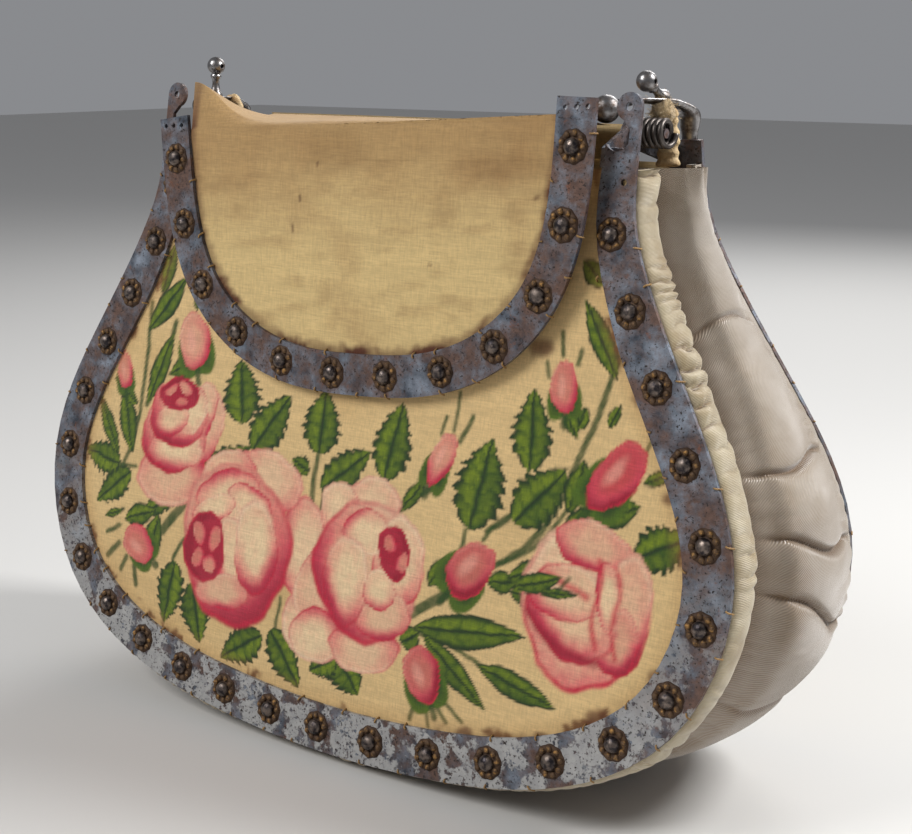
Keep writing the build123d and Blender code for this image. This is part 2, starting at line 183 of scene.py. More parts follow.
def dress(material, colour=None, roughness=None, height=None, depth=0.0001, metal=None):
    """Join what has been drawn to the material's shader."""
    shader = material.node_tree.nodes["Principled BSDF"]
    for socket, value in (("Base Color", colour), ("Roughness", roughness), ("Metallic", metal)):
        if value is not None:
            material.node_tree.links.new(value, shader.inputs[socket])
    if height is not None:
        bump = put(material, "ShaderNodeBump", {"Height": height, "Distance": depth, "Strength": 1.0})
        material.node_tree.links.new(bump.outputs["Normal"], shader.inputs["Normal"])
    return material


def worn_steel(name, plated):
    """Blued steel under mauve rust; the plated kind flakes white towards the floor."""
    steel = finish(name, 0.5, 0.35)
    place = where(steel)
    blue = mottled(steel, speckle(steel, 210, 6), 0.35, 0.68, rgb(50, 56, 66), rgb(132, 140, 152))
    rust = tint(steel, speckle(steel, 700, 3), rgb(56, 41, 37), rgb(120, 93, 81))
    colour = mottled(steel, speckle(steel, 130, 9, 0.7), 0.40, 0.60, blue, rust)
    orange = between(steel, speckle(steel, 330, 5, 0.7), 0.62, 0.72)
    colour = tint(steel, times(steel, orange, 0.6), colour, rgb(122, 70, 38))
    height = speckle(steel, 900, 6, 0.7)
    if plated:
        up = put(steel, "ShaderNodeSeparateXYZ", {0: place}).outputs[2]
        low = between(steel, up, 0.062, 0.020)
        flakes = between(steel, speckle(steel, 150, 9, 0.62), 0.46, 0.50)
        holes = between(steel, speckle(steel, 700, 4, 0.6), 0.36, 0.42)
        left = times(steel, times(steel, flakes, holes), low)
        white = tint(steel, speckle(steel, 400, 4), rgb(132, 132, 134), rgb(186, 184, 180))
        colour = tint(steel, left, colour, white)
        height = times(steel, height, times(steel, left, 0.6), "ADD")
    pits = between(steel, speckle(steel, 1500, 2), 0.30, 0.42)
    colour = tint(steel, pits, rgb(40, 32, 30), colour)
    rough = between(steel, speckle(steel, 300, 4), 0.3, 0.7, 0.38, 0.68)
    return dress(steel, colour, rough, height, 0.00022)


def give(node, material):
    """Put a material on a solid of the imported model."""
    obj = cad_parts[node]
    obj.data.materials.clear()
    obj.data.materials.append(material)
    return obj


strip_steel = worn_steel("worn_strip_steel", True)
for node in ("front_frame", "back_frame"):
    give(node, strip_steel)

# Front cloth: cream cotton laid over the front frame's inner side and riveted under
# the rosettes, painted with a traditional spray of cabbage roses, buds and leaves.
HALF_LINE = [
    (0, 0),
    (30.5, 1.7),
    (61, 7.7),
    (87, 24.6),
    (95, 51),
    (84.5, 79),
    (69.2, 106.3),
    (63.9, 121),
    (63.2, 129),
    (63.1, 136),
]


def through(points, count):
    """Even places and directions along a smooth line through a few points."""
    knots = np.array(points, float)
    steps = np.concatenate([[0], np.cumsum(np.linalg.norm(np.diff(knots, axis=0), axis=1))])
    gaps = np.diff(steps)
    size = len(knots)
    matrix = np.eye(size)
    right = np.zeros_like(knots)
    for n in range(1, size - 1):
        matrix[n, n - 1 : n + 2] = gaps[n - 1], 2 * (gaps[n - 1] + gaps[n]), gaps[n]
        right[n] = 6 * ((knots[n + 1] - knots[n]) / gaps[n] - (knots[n] - knots[n - 1]) / gaps[n - 1])
    bend = np.linalg.solve(matrix, right)
    fine = np.linspace(0, steps[-1], 4001)
    span = np.clip(np.searchsorted(steps, fine, side="right") - 1, 0, size - 2)
    gap = gaps[span][:, None]
    ahead = (steps[span + 1] - fine)[:, None]
    past = (fine - steps[span])[:, None]
    curve = (bend[span] * ahead**3 + bend[span + 1] * past**3) / (6 * gap)
    curve += (knots[span] / gap - bend[span] * gap / 6) * ahead
    curve += (knots[span + 1] / gap - bend[span + 1] * gap / 6) * past
    length = np.concatenate([[0], np.cumsum(np.linalg.norm(np.diff(curve, axis=0), axis=1))])
    even = np.linspace(0, length[-1], count + 1)
    places = np.stack([np.interp(even, length, curve[:, k]) for k in (0, 1)], axis=1)
    ways = np.gradient(places, axis=0)
    ways /= np.linalg.norm(ways, axis=1)[:, None]
    return places, ways, length[-1]


def horseshoe(half, count):
    """The whole U of a half outline, left arm to right arm."""
    return through([(-out, up) for out, up in half[:0:-1]] + list(half), count)


def aside(places, ways, offset):
    """Line set off outward from a U by an even or a varying distance."""
    offset = np.broadcast_to(offset, len(places))
    return places + np.stack([ways[:, 1] * offset, -ways[:, 0] * offset], axis=1)


def laid_on(put_at, out, up, off=0.0):
    """Corners of a net of places that lies on one of the faces."""
    return np.stack(np.broadcast_arrays(*put_at(out, up, off)), axis=-1).reshape(-1, 3)


def add_piece(name, corners, faces, material):
    """Smooth mesh object from corners in mm."""
    mesh = bpy.data.meshes.new(name)
    mesh.from_pydata((np.array(corners, float) / 1000).tolist(), [], faces)
    mesh.materials.append(material)
    mesh.shade_smooth()
    mesh.update()
    obj = bpy.data.objects.new(name, mesh)
    bpy.context.scene.collection.objects.link(obj)
    return obj


def grid_faces(rows, columns, closed=False):
    """Four-sided faces of a net of corners, joined round its columns if closed."""
    faces = []
    for row in range(rows - 1):
        for column in range(columns if closed else columns - 1):
            here, right = row * columns + column, row * columns + (column + 1) % columns
            faces.append((here, right, right + columns, here + columns))
    return faces


def filled_u(half, offset, top, rows, columns):
    """Net of places that fills a U up to a height, in rows from the bottom."""
    places, ways, _ = horseshoe(half, 1600)
    rim = aside(places, ways, offset)
    lowest = np.argmin(rim[:, 1])
    bottom = rim[lowest, 1] + 0.02
    ups = bottom + (top - bottom) * np.linspace(0, 1, rows) ** 1.35
    left = np.interp(ups, rim[lowest::-1, 1], rim[lowest::-1, 0])
    right = np.interp(ups, rim[lowest:, 1], rim[lowest:, 0])
    share = np.linspace(0, 1, columns)[None, :]
    out = left[:, None] + (right - left)[:, None] * share
    return out, np.repeat(ups[:, None], columns, axis=1)


def clouds(out, up, size, seed, octaves=3):
    """Soft random shading from -1 to 1 over a net of places."""
    total = np.zeros_like(out)
    for octave in range(octaves):
        rng = np.random.default_rng(seed + octave)
        knots = rng.uniform(-1, 1, (64, 64))
        x = out / size * 2**octave + 7.3
        y = up / size * 2**octave + 3.9
        i, j = np.floor(x).astype(int), np.floor(y).astype(int)
        u, v = x - i, y - j
        u, v = u * u * (3 - 2 * u), v * v * (3 - 2 * v)
        lower = knots[i % 64, j % 64] * (1 - u) + knots[(i + 1) % 64, j % 64] * u
        upper = knots[i % 64, (j + 1) % 64] * (1 - u) + knots[(i + 1) % 64, (j + 1) % 64] * u
        total += (lower * (1 - v) + upper * v) / 2**octave
    return total / 1.6


def soft(value, low, high):
    """Smooth rise from 0 to 1 between two values, falling if they are swapped."""
    share = np.clip((value - low) / (high - low), 0, 1)
    return share * share * (3 - 2 * share)


CLOTH_REACH = 4.25
CLOTH_TOP = 130.9
out, up = filled_u(HALF_LINE, CLOTH_REACH, CLOTH_TOP, 285, 335)
wobble = 0.35
brush_out = out + wobble * clouds(out, up, 3.0, 11, 2)
brush_up = up + wobble * clouds(out, up, 3.0, 21, 2)
grain = clouds(out, up, 1.3, 31, 2)
paint = np.ones(out.shape + (3,)) * np.array(rgb(212, 180, 126)[:3])


def mixed(first, second, share):
    """Blend two colours, each one colour or one for every place."""
    share = np.clip(share, 0, 1)[..., None]
    return np.array(first)[..., :3] * (1 - share) + np.array(second)[..., :3] * share


def brush(mask, colour):
    """Lay a wash of colour where the mask is."""
    paint[:] = mixed(paint, colour, mask)


def turned(x, y, angle):
    """Places measured along and across a direction from a point."""
    c, s = cos(radians(angle)), sin(radians(angle))
    dx, dy = brush_out - x, brush_up - y
    return dx * c + dy * s, dy * c - dx * s


def stroke(points, width, colour, fade=0.35):
    """Brush line through a few places."""
    places, _, _ = through(points, 24) if len(points) > 2 else (np.array(points, float), None, None)
    near = np.full(out.shape, 1e9)
    for (ax, ay), (bx, by) in zip(places[:-1], places[1:]):
        dx, dy = bx - ax, by - ay
        share = np.clip(((brush_out - ax) * dx + (brush_up - ay) * dy) / (dx * dx + dy * dy), 0, 1)
        near = np.minimum(near, np.hypot(brush_out - ax - share * dx, brush_up - ay - share * dy))
    brush(soft(near, width / 2 + fade, width / 2 - fade) * (0.86 + 0.14 * grain), colour)


brush(soft(clouds(out, up, 26, 41, 4), 0.0, 0.9) * 0.35, rgb(178, 140, 84))

DEEP_GREEN = rgb(20, 40, 12)
GREEN = rgb(36, 66, 14)
OLIVE = rgb(108, 126, 22)


def leaf(base, tip, width, teeth=7):
    """Leaf with a midrib, side veins and, where it has teeth, a serrated edge."""
    length = np.hypot(tip[0] - base[0], tip[1] - base[1])
    angle = np.degrees(np.arctan2(tip[1] - base[1], tip[0] - base[0]))
    along, across = turned(base[0], base[1], angle)
    aside_share = np.abs(across) / width
    share = np.clip(along / length, 0, 1)
    half = width / 2 * np.sin(pi * share ** (0.75 if teeth else 0.9)) ** (0.86 if teeth else 1.0)
    if teeth:
        half = half * (0.88 + 0.34 * (1 - (share * teeth - 0.8 * aside_share) % 1))
    inside = soft(np.abs(across), half + 0.14, half - 0.14)
    inside = inside * soft(along, -0.3, 0.3) * soft(along, length + 0.2, length - 0.2)
    edge = np.abs(across) / np.maximum(half, 0.3)
    vein = np.abs((share * 5 - 0.9 * aside_share + 0.25 * grain) % 1 - 0.5) * 2
    lit = soft(edge, 0.02, 0.25) * soft(edge, 1.0, 0.5) * (0.45 + 0.55 * soft(vein, 0.98, 0.6))
    lit = lit * np.where(across > 0, 1.0, 0.6) * (0.85 + 0.4 * grain) + 0.12 * grain
    green = mixed(GREEN, OLIVE, lit)
    green = mixed(green, DEEP_GREEN, soft(edge, 0.6, 0.95) * 0.8)
    brush(inside, green)
    brush(inside * soft(np.abs(across), 0.4, 0.12) * 0.8, DEEP_GREEN)


CREAM = rgb(226, 196, 154)
PINK = rgb(214, 70, 90)
ROSE = rgb(190, 26, 56)
CRIMSON = rgb(146, 10, 42)


def petal(x, y, wide, tall, turn=0, shadow=-90, deep=0.6, pale=0.8, edge=0.5):
    """Rounded petal, cream at heart, running to rose on the side that the shadow lies."""
    along, across = turned(x, y, turn)
    round_way = np.arctan2(across / tall, along / wide)
    wave = 0.035 * np.sin(3 * round_way + x) + 0.025 * np.sin(5 * round_way + 2 * y)
    wave = wave + 0.012 * np.sin(11 * round_way + x)
    radius = np.hypot(along / wide, across / tall) * (1 + wave)
    facing = 0.5 + 0.5 * np.cos(np.arctan2(brush_up - y, brush_out - x) - radians(shadow))
    inside = soft(radius, 1.04, 0.97)
    blush = soft(radius, 0.3, 1.0) * (0.16 + 0.9 * facing**1.3) * (0.65 + deep) + 0.14 * grain
    heart = np.array(CREAM[:3]) * pale + np.array(ROSE[:3]) * (1 - pale)
    dark = soft(radius * (0.25 + 0.75 * facing), 0.62 - 0.2 * deep, 0.97) * deep * 1.4
    dark = dark + (1 - pale) * max(0, deep - 0.7) * 2.4
    brush(inside, mixed(mixed(heart, PINK, blush), CRIMSON, dark))
    outline = soft(radius, 0.91, 0.97) * min(1, edge + 0.25) * (0.7 + 0.4 * facing + 0.3 * grain)
    brush(inside * outline, ROSE)
    brush(inside * soft(radius, 0.8, 0.93) * (1 - facing) ** 2 * 0.5 * pale, rgb(232, 208, 172))


def bud(x, y, wide, tall, turn, deep=0.6, pale=0.35):
    """Closed bud held in a green cup, lit along one side of its rolled petal."""
    way = radians(turn)
    for side in (-1, 1):
        cup_x = x - cos(way) * tall * 0.34 - sin(way) * side * wide * 0.36
        cup_y = y - sin(way) * tall * 0.34 + cos(way) * side * wide * 0.36
        along, across = turned(cup_x, cup_y, turn - 14 * side)
        ring = np.hypot(along / (tall * 0.98), across / (wide * 0.86))
        green = np.array(GREEN[:3]) * (0.9 + 0.35 * grain[..., None])
        green = green + np.array(OLIVE[:3]) * soft(ring, 0.4, 0.9)[..., None] * 0.35
        brush(soft(ring, 1.05, 0.93), green)
    foot = [(x - cos(way) * tall * far, y - sin(way) * tall * far) for far in (1, 1.5)]
    stroke(foot, 1.9, GREEN)
    petal(x, y, tall, wide, turn, turn - 130, deep, pale, 0.6)
    along, across = turned(x, y, turn)
    shine = np.hypot((along - tall * 0.05) / (tall * 0.6), (across - wide * 0.22) / (wide * 0.4))
    brush(soft(shine, 1.1, 0.2) * 0.65, rgb(228, 160, 140))


# stems first, then leaves with teeth and without, then buds and roses over them
for points, width in (
    ([(31.4, 38), (44.3, 46.6), (54.3, 55), (60, 66.6), (64.3, 78), (67.9, 89.4), (70, 96.6)], 1.5),
    ([(44.3, 46.6), (54.8, 53.4), (60.8, 62)], 1.0),
    ([(-75, 50), (-71.5, 58), (-70, 66.6), (-69.3, 78), (-69.3, 92)], 1.3),
    ([(-67.9, 66.6), (-64, 76), (-60, 88)], 1.6), ([(-9.3, 62.3), (-10, 52.3), (-5, 43.7)], 1.4),
    ([(-6.5, 53.7), (-7.5, 49)], 0.9), ([(35, 52.3), (34.3, 48)], 1.1),
    ([(40.5, 53), (48, 59), (50, 68)], 1.0), ([(40, 51), (44, 56), (47, 58)], 1.0),
    ([(-58.6, 36), (-51.4, 44.6), (-45.7, 53.7)], 2.6), ([(-17.9, 19.4), (-17, 27)], 0.9),
    ([(1.4, 17), (1.0, 23.4)], 0.9), ([(18.5, 29.5), (23.6, 32.3), (31, 37.5)], 2.4),
    ([(18.5, 29.5), (24, 27.5), (32, 27), (42, 24)], 1.2),
    ([(-86, 50.5), (-78, 49.6), (-70, 50.4)], 1.0), ([(-54.3, 29), (-52, 33.5), (-50, 36)], 1.1),
    ([(27, 61), (20, 57), (16, 53.5)], 1.6), ([(29.3, 73), (29.9, 81.5)], 0.9),
    ([(31.3, 71), (33.8, 76.8)], 1.3), ([(25.7, 72), (27, 76)], 0.9), ([(55.3, 92.5), (54.8, 97)], 1.2),
    ([(51.6, 90.5), (52.4, 88)], 1.0), ([(59.4, 91), (59.8, 94)], 1.2), ([(25.5, 12), (24.6, 8)], 1.1),
    ([(28.6, 12), (30, 7.6)], 1.1), ([(31.5, 13), (34.8, 9.6)], 1.1), ([(34, 14), (39, 10.7)], 1.1),
    ([(-74.5, 34.5), (-79, 32)], 1.2), ([(-74, 30), (-78, 26)], 1.6), ([(-68, 25), (-66.6, 20.5)], 1.5),
    ([(-71, 27), (-72.6, 23.6)], 1.4), ([(77.5, 75), (79.5, 80)], 0.9),
):
    stroke(points, width, GREEN)
for base, tip, width in (
    ((-34.5, 66), (-36.5, 81.5), 11.5), ((-30.7, 60), (-19.3, 74.8), 9.8),
    ((-9.3, 62.3), (-8.9, 77.5), 10.8), ((-7.5, 54), (6.4, 65.6), 8.6),
    ((10.8, 59.4), (14.3, 77.5), 10.4), ((36, 52.6), (39.6, 73), 12.6), ((50, 67.5), (49.2, 84.8), 9.8),
    ((47.5, 56.2), (59.5, 69.2), 10.8), ((77.6, 53.6), (90, 60.5), 9.0), ((-53.4, 29), (-55.6, 13), 8.8),
    ((-46.6, 25), (-42.4, 10.6), 10.0), ((-22, 17), (-35, 8.8), 9.0), ((-19.5, 19), (-8.8, 7.2), 9.0),
    ((-76, 49.8), (-89.5, 52.6), 8.2), ((-72, 48.8), (-84, 39.2), 7.2),
    ((-12, 57.5), (-17.5, 60.5), 4.6), ((-47.4, 52.4), (-31, 61), 5.6), ((1.5, 18.6), (9.4, 9.6), 10.5),
    ((2, 17), (-6, 12), 7.0), ((-66.5, 39), (-51, 47), 4.6),
):
    leaf(base, tip, width)
for base, tip, width in (
    ((-69.8, 84.8), (-57, 99.6), 6.6), ((-67.9, 66.6), (-60.4, 86), 5.6), ((-72, 53), (-77, 71), 6.6),
    ((-77, 52.3), (-86, 67), 5.0), ((-61, 75), (-49.5, 80.5), 5.5), ((-66, 94.5), (-62, 108), 5.2),
    ((-71, 66), (-81, 72), 4.6), ((-53.2, 90.8), (-53.8, 97), 2.0), ((22.9, 28.4), (53.4, 32.6), 8.0),
    ((25.7, 27.5), (45, 14.6), 6.0), ((41, 24), (63, 19.3), 6.0), ((69.3, 88.7), (59.3, 104.6), 5.6),
    ((64, 107.5), (57.6, 112.5), 5.4), ((70, 96), (66.5, 104), 3.6), ((77.6, 69), (85, 72.6), 3.2),
    ((68, 79), (70.6, 84.4), 2.6), ((62.5, 82.5), (60.2, 77), 4.0), ((57.5, 82), (61, 75.5), 3.6),
    ((66, 60), (78, 64.6), 6.8), ((60.5, 60), (63.5, 72), 5.6), ((59, 56), (70, 63), 5.4),
    ((16, 53), (23, 62), 3.8), ((26, 38), (31, 46), 4.0), ((20, 24), (25, 27.5), 6.4),
    ((42, 42), (50, 44), 5.0), ((47, 44), (61, 49.4), 6.0), ((48, 41.5), (60, 40.6), 5.4),
    ((-73, 36.5), (-61.5, 40.5), 6.0), ((-63.5, 27.5), (-60.5, 40), 6.6),
    ((-80.5, 35.8), (-73, 39), 2.4),
):
    leaf(base, tip, width, teeth=0)

# buds: place, half width and height, turn, depth of shade, paleness
for values in (
    (-53, 84, 5.2, 6.9, 105, 0.3, 0.6), (-77, 74, 2.8, 4.8, 100, 0.5, 0.4),
    (-67.2, 31, 4.4, 5.6, 150, 0.25, 0.3), (26.6, 66.6, 3.0, 6.4, 66, 0.55, 0.5),
    (56.4, 86, 3.4, 5.4, 98, 0.4, 0.35), (71.4, 69.6, 4.9, 8.8, 52, 0.75, 0.1),
    (37.2, 43.9, 5.2, 7.4, 48, 0.85, 0.3), (27, 18.6, 5.0, 6.4, 118, 0.8, 0.3),
):
    bud(*values)

# roses, petal by petal: place, half width and height, turn, side in shadow, depth of shade and
# paleness; first the one at the upper left
for values in (
    (-57, 50.6, 12.4, 8.4, 8, 70, 0.5, 0.75), (-46.6, 64, 5.8, 9.6, -12, -120, 0.25, 0.75),
    (-48.5, 66.5, 4.6, 8.4, -20, -60, 0.3, 0.9), (-58, 59.5, 11.2, 8.8, 4, -100, 0.8, 0.7),
    (-56.6, 57, 9.6, 5.6, 6, -110, 0.35, 1.0), (-56.5, 65.6, 10.0, 8.6, 10, -110, 0.7, 0.6),
    (-51.4, 66.4, 4.0, 6.4, -32, 160, 0.25, 1.0), (-58.5, 63.6, 6.0, 3.6, 20, -90, 0.5, 0.9),
    (-56.6, 70.4, 6.9, 4.2, 6, 90, 1.0, 0.0), (-54.6, 72.0, 2.6, 1.5, -20, 40, 0.3, 0.5),
    (-59.6, 71.0, 2.2, 1.2, 30, 120, 0.4, 0.4), (-55.6, 68.4, 2.2, 1.0, 10, -90, 0.4, 0.3),
):
    petal(*values)

# largest rose, left of the middle
for values in (
    (-11.5, 39.5, 8.2, 12.0, 6, 180, 0.35, 0.95), (-7.5, 22.8, 8.6, 8.0, -20, 40, 0.3, 0.95),
    (-24, 54.4, 11.4, 6.4, -14, -120, 0.55, 0.85), (-38, 53.4, 9.4, 5.4, 22, -60, 0.5, 0.85),
    (-33.4, 36.8, 17.8, 19.8, 10, -60, 0.6, 0.5), (-36.5, 48.2, 11.0, 6.4, 12, 110, 0.3, 0.95),
    (-29.6, 47.4, 7.6, 4.2, -16, 60, 0.25, 0.95), (-41.4, 44.2, 7.6, 3.2, 24, -80, 0.2, 1.0),
    (-33.5, 33, 6.4, 10.4, 14, -120, 0.25, 0.95), (-36.4, 24.6, 9.0, 4.4, 8, -80, 0.4, 0.75),
    (-26.5, 37.2, 7.0, 11.4, 4, -60, 0.5, 1.0), (-43.6, 34.4, 7.0, 8.8, -8, 170, 1.0, 0.0),
    (-45.6, 37.6, 2.0, 3.0, 20, 0, 0.3, 0.35), (-40.4, 37.0, 1.9, 3.4, -14, 180, 0.3, 0.35),
    (-45.6, 31.6, 1.8, 2.6, -20, 0, 0.3, 0.3), (-41.6, 30.6, 2.2, 2.2, 10, 90, 0.3, 0.45),
):
    petal(*values)

# rose at the middle
for values in (
    (7.4, 52.6, 9.4, 6.6, 22, -110, 0.35, 0.9), (-0.8, 50, 6.4, 7.0, 20, -60, 0.3, 0.95),
    (-6.6, 31.6, 6.2, 9.4, -14, 20, 0.4, 0.8), (-5.4, 20.4, 7.8, 6.4, 10, 80, 0.2, 1.0),
    (9.6, 20.6, 10.4, 5.6, 8, 90, 0.45, 0.85), (8.0, 38.2, 15.4, 16.2, 0, -140, 0.5, 0.75),
    (17.2, 41.4, 7.4, 11.0, -6, -100, 0.2, 0.95), (6.6, 46.6, 7.0, 5.4, 24, 150, 0.2, 1.0),
    (14.6, 28.6, 8.0, 5.0, 22, -80, 0.45, 0.8), (2.4, 35, 6.7, 10.4, 4, -130, 0.55, 1.0),
    (12.5, 34.6, 4.6, 4.6, 10, -90, 0.2, 1.0), (15.8, 43.8, 4.6, 6.2, 14, 0, 1.0, 0.0),
    (18.4, 42.0, 1.6, 2.4, -20, 180, 0.3, 0.4), (14.4, 45.6, 1.6, 2.0, 30, 0, 0.3, 0.3),
):
    petal(*values)

# half-turned rose at the right
for values in (
    (66.8, 41.6, 15.8, 17.0, 0, -90, 0.02, 0.97, 0.5), (67.4, 54.6, 9.4, 5.0, -6, -110, 0.55, 0.7, 0.6),
    (76.4, 42.0, 6.6, 12.4, -6, -100, 0.7, 0.75), (75.8, 36.0, 4.8, 7.0, -8, -70, 0.65, 0.6),
    (64.2, 40.2, 11.8, 9.8, -22, -125, 0.6, 0.85), (62.4, 43.8, 9.6, 6.0, 4, -140, 0.25, 0.85),
    (72.2, 45.0, 2.6, 7.4, 10, 180, 0.5, 1.0),
):
    petal(*values)
stroke([(69.6, 52.0), (70.4, 46.0), (69.2, 40.0), (70.6, 34.0)], 1.1, ROSE, 0.8)
stroke([(73.8, 51.0), (75.2, 45.0), (74.0, 39.0), (75.6, 33.0)], 1.0, ROSE, 0.8)
stroke([(52.8, 38.4), (58.0, 33.6), (65.0, 31.4), (71.0, 31.0)], 1.5, CRIMSON, 1.2)
stroke([(57.4, 46.8), (62.0, 45.6), (67.0, 44.0)], 1.4, ROSE, 1.0)
leaf((48.5, 42.6), (61, 46.6), 4.6, teeth=0)
leaf((55, 42.6), (65.5, 44), 2.2, teeth=0)
stroke([(60, 43.6), (62.6, 47)], 0.8, GREEN)


def from_edge(out, up, line, inset, count):
    """Distance of each place from the inner edge of a strip."""
    rim_places, rim_ways, _ = horseshoe(line, count)
    near = np.full(out.shape, 1e9)
    for x, y in aside(rim_places, rim_ways, -inset):
        near = np.minimum(near, np.hypot(out - x, up - y))
    return near


near_edge = from_edge(out, up, HALF_LINE, 5.2, 160)
# rust from the rivets and strip has crept into the cloth along its edge
creep = soft(soft(clouds(out, up, 7, 61, 3), 0.05, 0.5), 0.0, 0.6)
ragged = near_edge + 1.2 * clouds(out, up, 2.0, 66, 2)
brush(soft(ragged, 2.6, 0.8) * creep * 0.95, rgb(84, 42, 18))
brush(soft(near_edge, 5.0, 0.5) * 0.25, rgb(168, 120, 64))
for x, y, size in (
    (50, 93.5, 3.2), (75.5, 86, 2.6), (84, 67, 2.2), (86, 31, 2.6), (73, 19.6, 3.4), (60, 12.6, 2.2),
    (40, 8.4, 2.4),
):
    spot = np.hypot(out - x, (up - y) * 1.3) / size + 0.35 * clouds(out, up, 2.4, 71, 2)
    brush(soft(spot, 1.3, 0.4) * 0.75, rgb(92, 48, 20))
shade_under_flap = soft(np.hypot((out + 0.5) / 66, (up - 141) / 66), 1.03, 0.9)
brush(shade_under_flap * 0.5, rgb(150, 120, 80))


def shaded(material, colour, level):
    """A colour made darker or lighter by a level near 1."""
    grey = put(material, "ShaderNodeCombineColor", {0: level, 1: level, 2: level}).outputs[0]
    sockets = {0: 1.0, 6: colour, 7: grey}
    return put(material, "ShaderNodeMix", sockets, data_type="RGBA", blend_type="MULTIPLY").outputs[2]


def woven(name, colour):
    """Plain weave with slubs over a painted layer, or over one colour with a little dirt."""
    cloth = finish(name, 0.85, sheen=0.15)
    place = where(cloth)
    threads = []
    for stretch, scale in (((0.1, 1, 1), 2800), ((1, 1, 0.1), 2600)):
        run_on = put(cloth, "ShaderNodeMapping", {"Vector": place, "Scale": stretch}).outputs[0]
        threads.append(between(cloth, speckle(cloth, scale, 2, 0.6, run_on), 0.3, 0.7))
    weave = times(cloth, times(cloth, threads[0], threads[1], "ADD"), 0.5)
    slubs = put(cloth, "ShaderNodeMapping", {"Vector": place, "Scale": (0.06, 1, 1)}).outputs[0]
    thickness = between(cloth, speckle(cloth, 600, 3, 0.6, slubs), 0.35, 0.65, 0.7, 1.15)
    weave = times(cloth, weave, thickness)
    if isinstance(colour, str):
        hue = put(cloth, "ShaderNodeVertexColor", layer_name=colour).outputs["Color"]
    else:
        dirty = tuple(c * 0.72 for c in colour[:3]) + (1,)
        hue = mottled(cloth, speckle(cloth, 45, 5), 0.4, 0.75, colour, dirty)
    shade = between(cloth, weave, 0.15, 0.8, 0.82, 1.07)
    return dress(cloth, shaded(cloth, hue, shade), None, weave, 0.00009)


def paint_on(obj, colours, layer="paint"):
    """Keep the brushed colours on the cloth's own corners."""
    made = obj.data.color_attributes.new(layer, "FLOAT_COLOR", "POINT")
    flat = np.ones((len(obj.data.vertices), 4), np.float32)
    flat[:, :3] = np.clip(colours.reshape(-1, 3), 0, 1)
    made.data.foreach_set("color", flat.ravel())


swell = 0.35 * clouds(out, up, 30, 81, 3) * soft(near_edge, 0, 14)
front_corners = laid_on(front_at, out, up, swell + 0.02)
painted_cotton = woven("painted_cotton", "paint")
front_cloth = add_piece("front_cloth", front_corners, grid_faces(*out.shape), painted_cotton)
paint_on(front_cloth, paint)
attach(front_cloth, "front")
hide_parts("front_panel")

# Back cloth: the same cotton unpainted, with a tongue carried up past the mouth to be
# sewn to the flap's cloth. It is riveted to the back frame in the same way.
TONGUE_TOP = 138.9
out, up = filled_u(HALF_LINE, CLOTH_REACH, CLOTH_TOP, 110, 150)
tongue_out, tongue_up = np.meshgrid(np.linspace(-55.8, 50.8, 60), np.linspace(CLOTH_TOP, TONGUE_TOP, 8))
back_net = laid_on(back_at, out, up, 0.3 * clouds(out, up, 30, 91, 3) + 0.02)
corners = np.concatenate([back_net, laid_on(back_at, tongue_out, tongue_up, 0.02)])
faces = [face[::-1] for face in grid_faces(*out.shape)]
faces += [tuple(len(back_net) + n for n in face[::-1]) for face in grid_faces(*tongue_out.shape)]
plain_cloth = woven("plain_cotton", rgb(196, 170, 124))
back_cloth = add_piece("back_cloth", corners, faces, plain_cloth)
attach(back_cloth, "root")
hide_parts("back_panel")

# Kid linings: one thin skin pasted inside each cloth face, and folded over the back
# of its rivets. They show only through the mouth.
kid = finish("lining_kid", 0.6)
kid_grain = put(kid, "ShaderNodeTexVoronoi", {"Vector": where(kid), "Scale": 2600.0}).outputs["Distance"]
kid_hue = mottled(kid, speckle(kid, 60, 6), 0.35, 0.7, rgb(224, 206, 176), rgb(184, 150, 108))
dress(kid, kid_hue, None, kid_grain, 0.00006)
for name, put_at, body in (("front", front_at, "front"), ("back", back_at, "root")):
    out, up = filled_u(HALF_LINE, 2.85, 126.9, 60, 90)
    faces = grid_faces(*out.shape)
    if put_at is front_at:
        faces = [face[::-1] for face in faces]
    lining = add_piece(f"{name}_kid_lining", laid_on(put_at, out, up, -1.3), faces, kid)
    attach(lining, body)
    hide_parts(f"{name}_lining")

# Rosettes and rivets: thin brass washers stamped as rings of beads, brown with age,
# each held by a domed iron rivet that goes through strip and cloth.
washer_brass = finish("rosette_brass", 0.58, 0.5)
bright = put(washer_brass, "ShaderNodeVertexColor", layer_name="height").outputs["Color"]
dull = tint(washer_brass, speckle(washer_brass, 300, 4), rgb(40, 30, 26), rgb(84, 62, 46))
lit = mottled(washer_brass, speckle(washer_brass, 900, 5, 0.7), 0.5, 0.68, rgb(88, 68, 50), rgb(176, 132, 74))
dress(washer_brass, tint(washer_brass, bright, dull, lit), None, speckle(washer_brass, 2400, 4, 0.7), 0.00012)
rivet_iron = finish("rivet_iron", 0.34, 0.85)
iron_hue = mottled(rivet_iron, speckle(rivet_iron, 800, 4), 0.4, 0.62, rgb(52, 48, 50), rgb(120, 108, 100))
iron_rough = between(rivet_iron, speckle(rivet_iron, 500, 3), 0.3, 0.7, 0.25, 0.55)
dress(rivet_iron, iron_hue, iron_rough, speckle(rivet_iron, 1800, 3), 0.00008)


def spun(profile, sides):
    """Corners and faces of a profile of radius and height turned round the upright axis."""
    turns = [2 * pi * side / sides for side in range(sides)]
    corners = []
    for radius, height in profile:
        corners += [(radius * cos(turn), radius * sin(turn), height) for turn in turns]
    return corners, grid_faces(len(profile), sides, True)


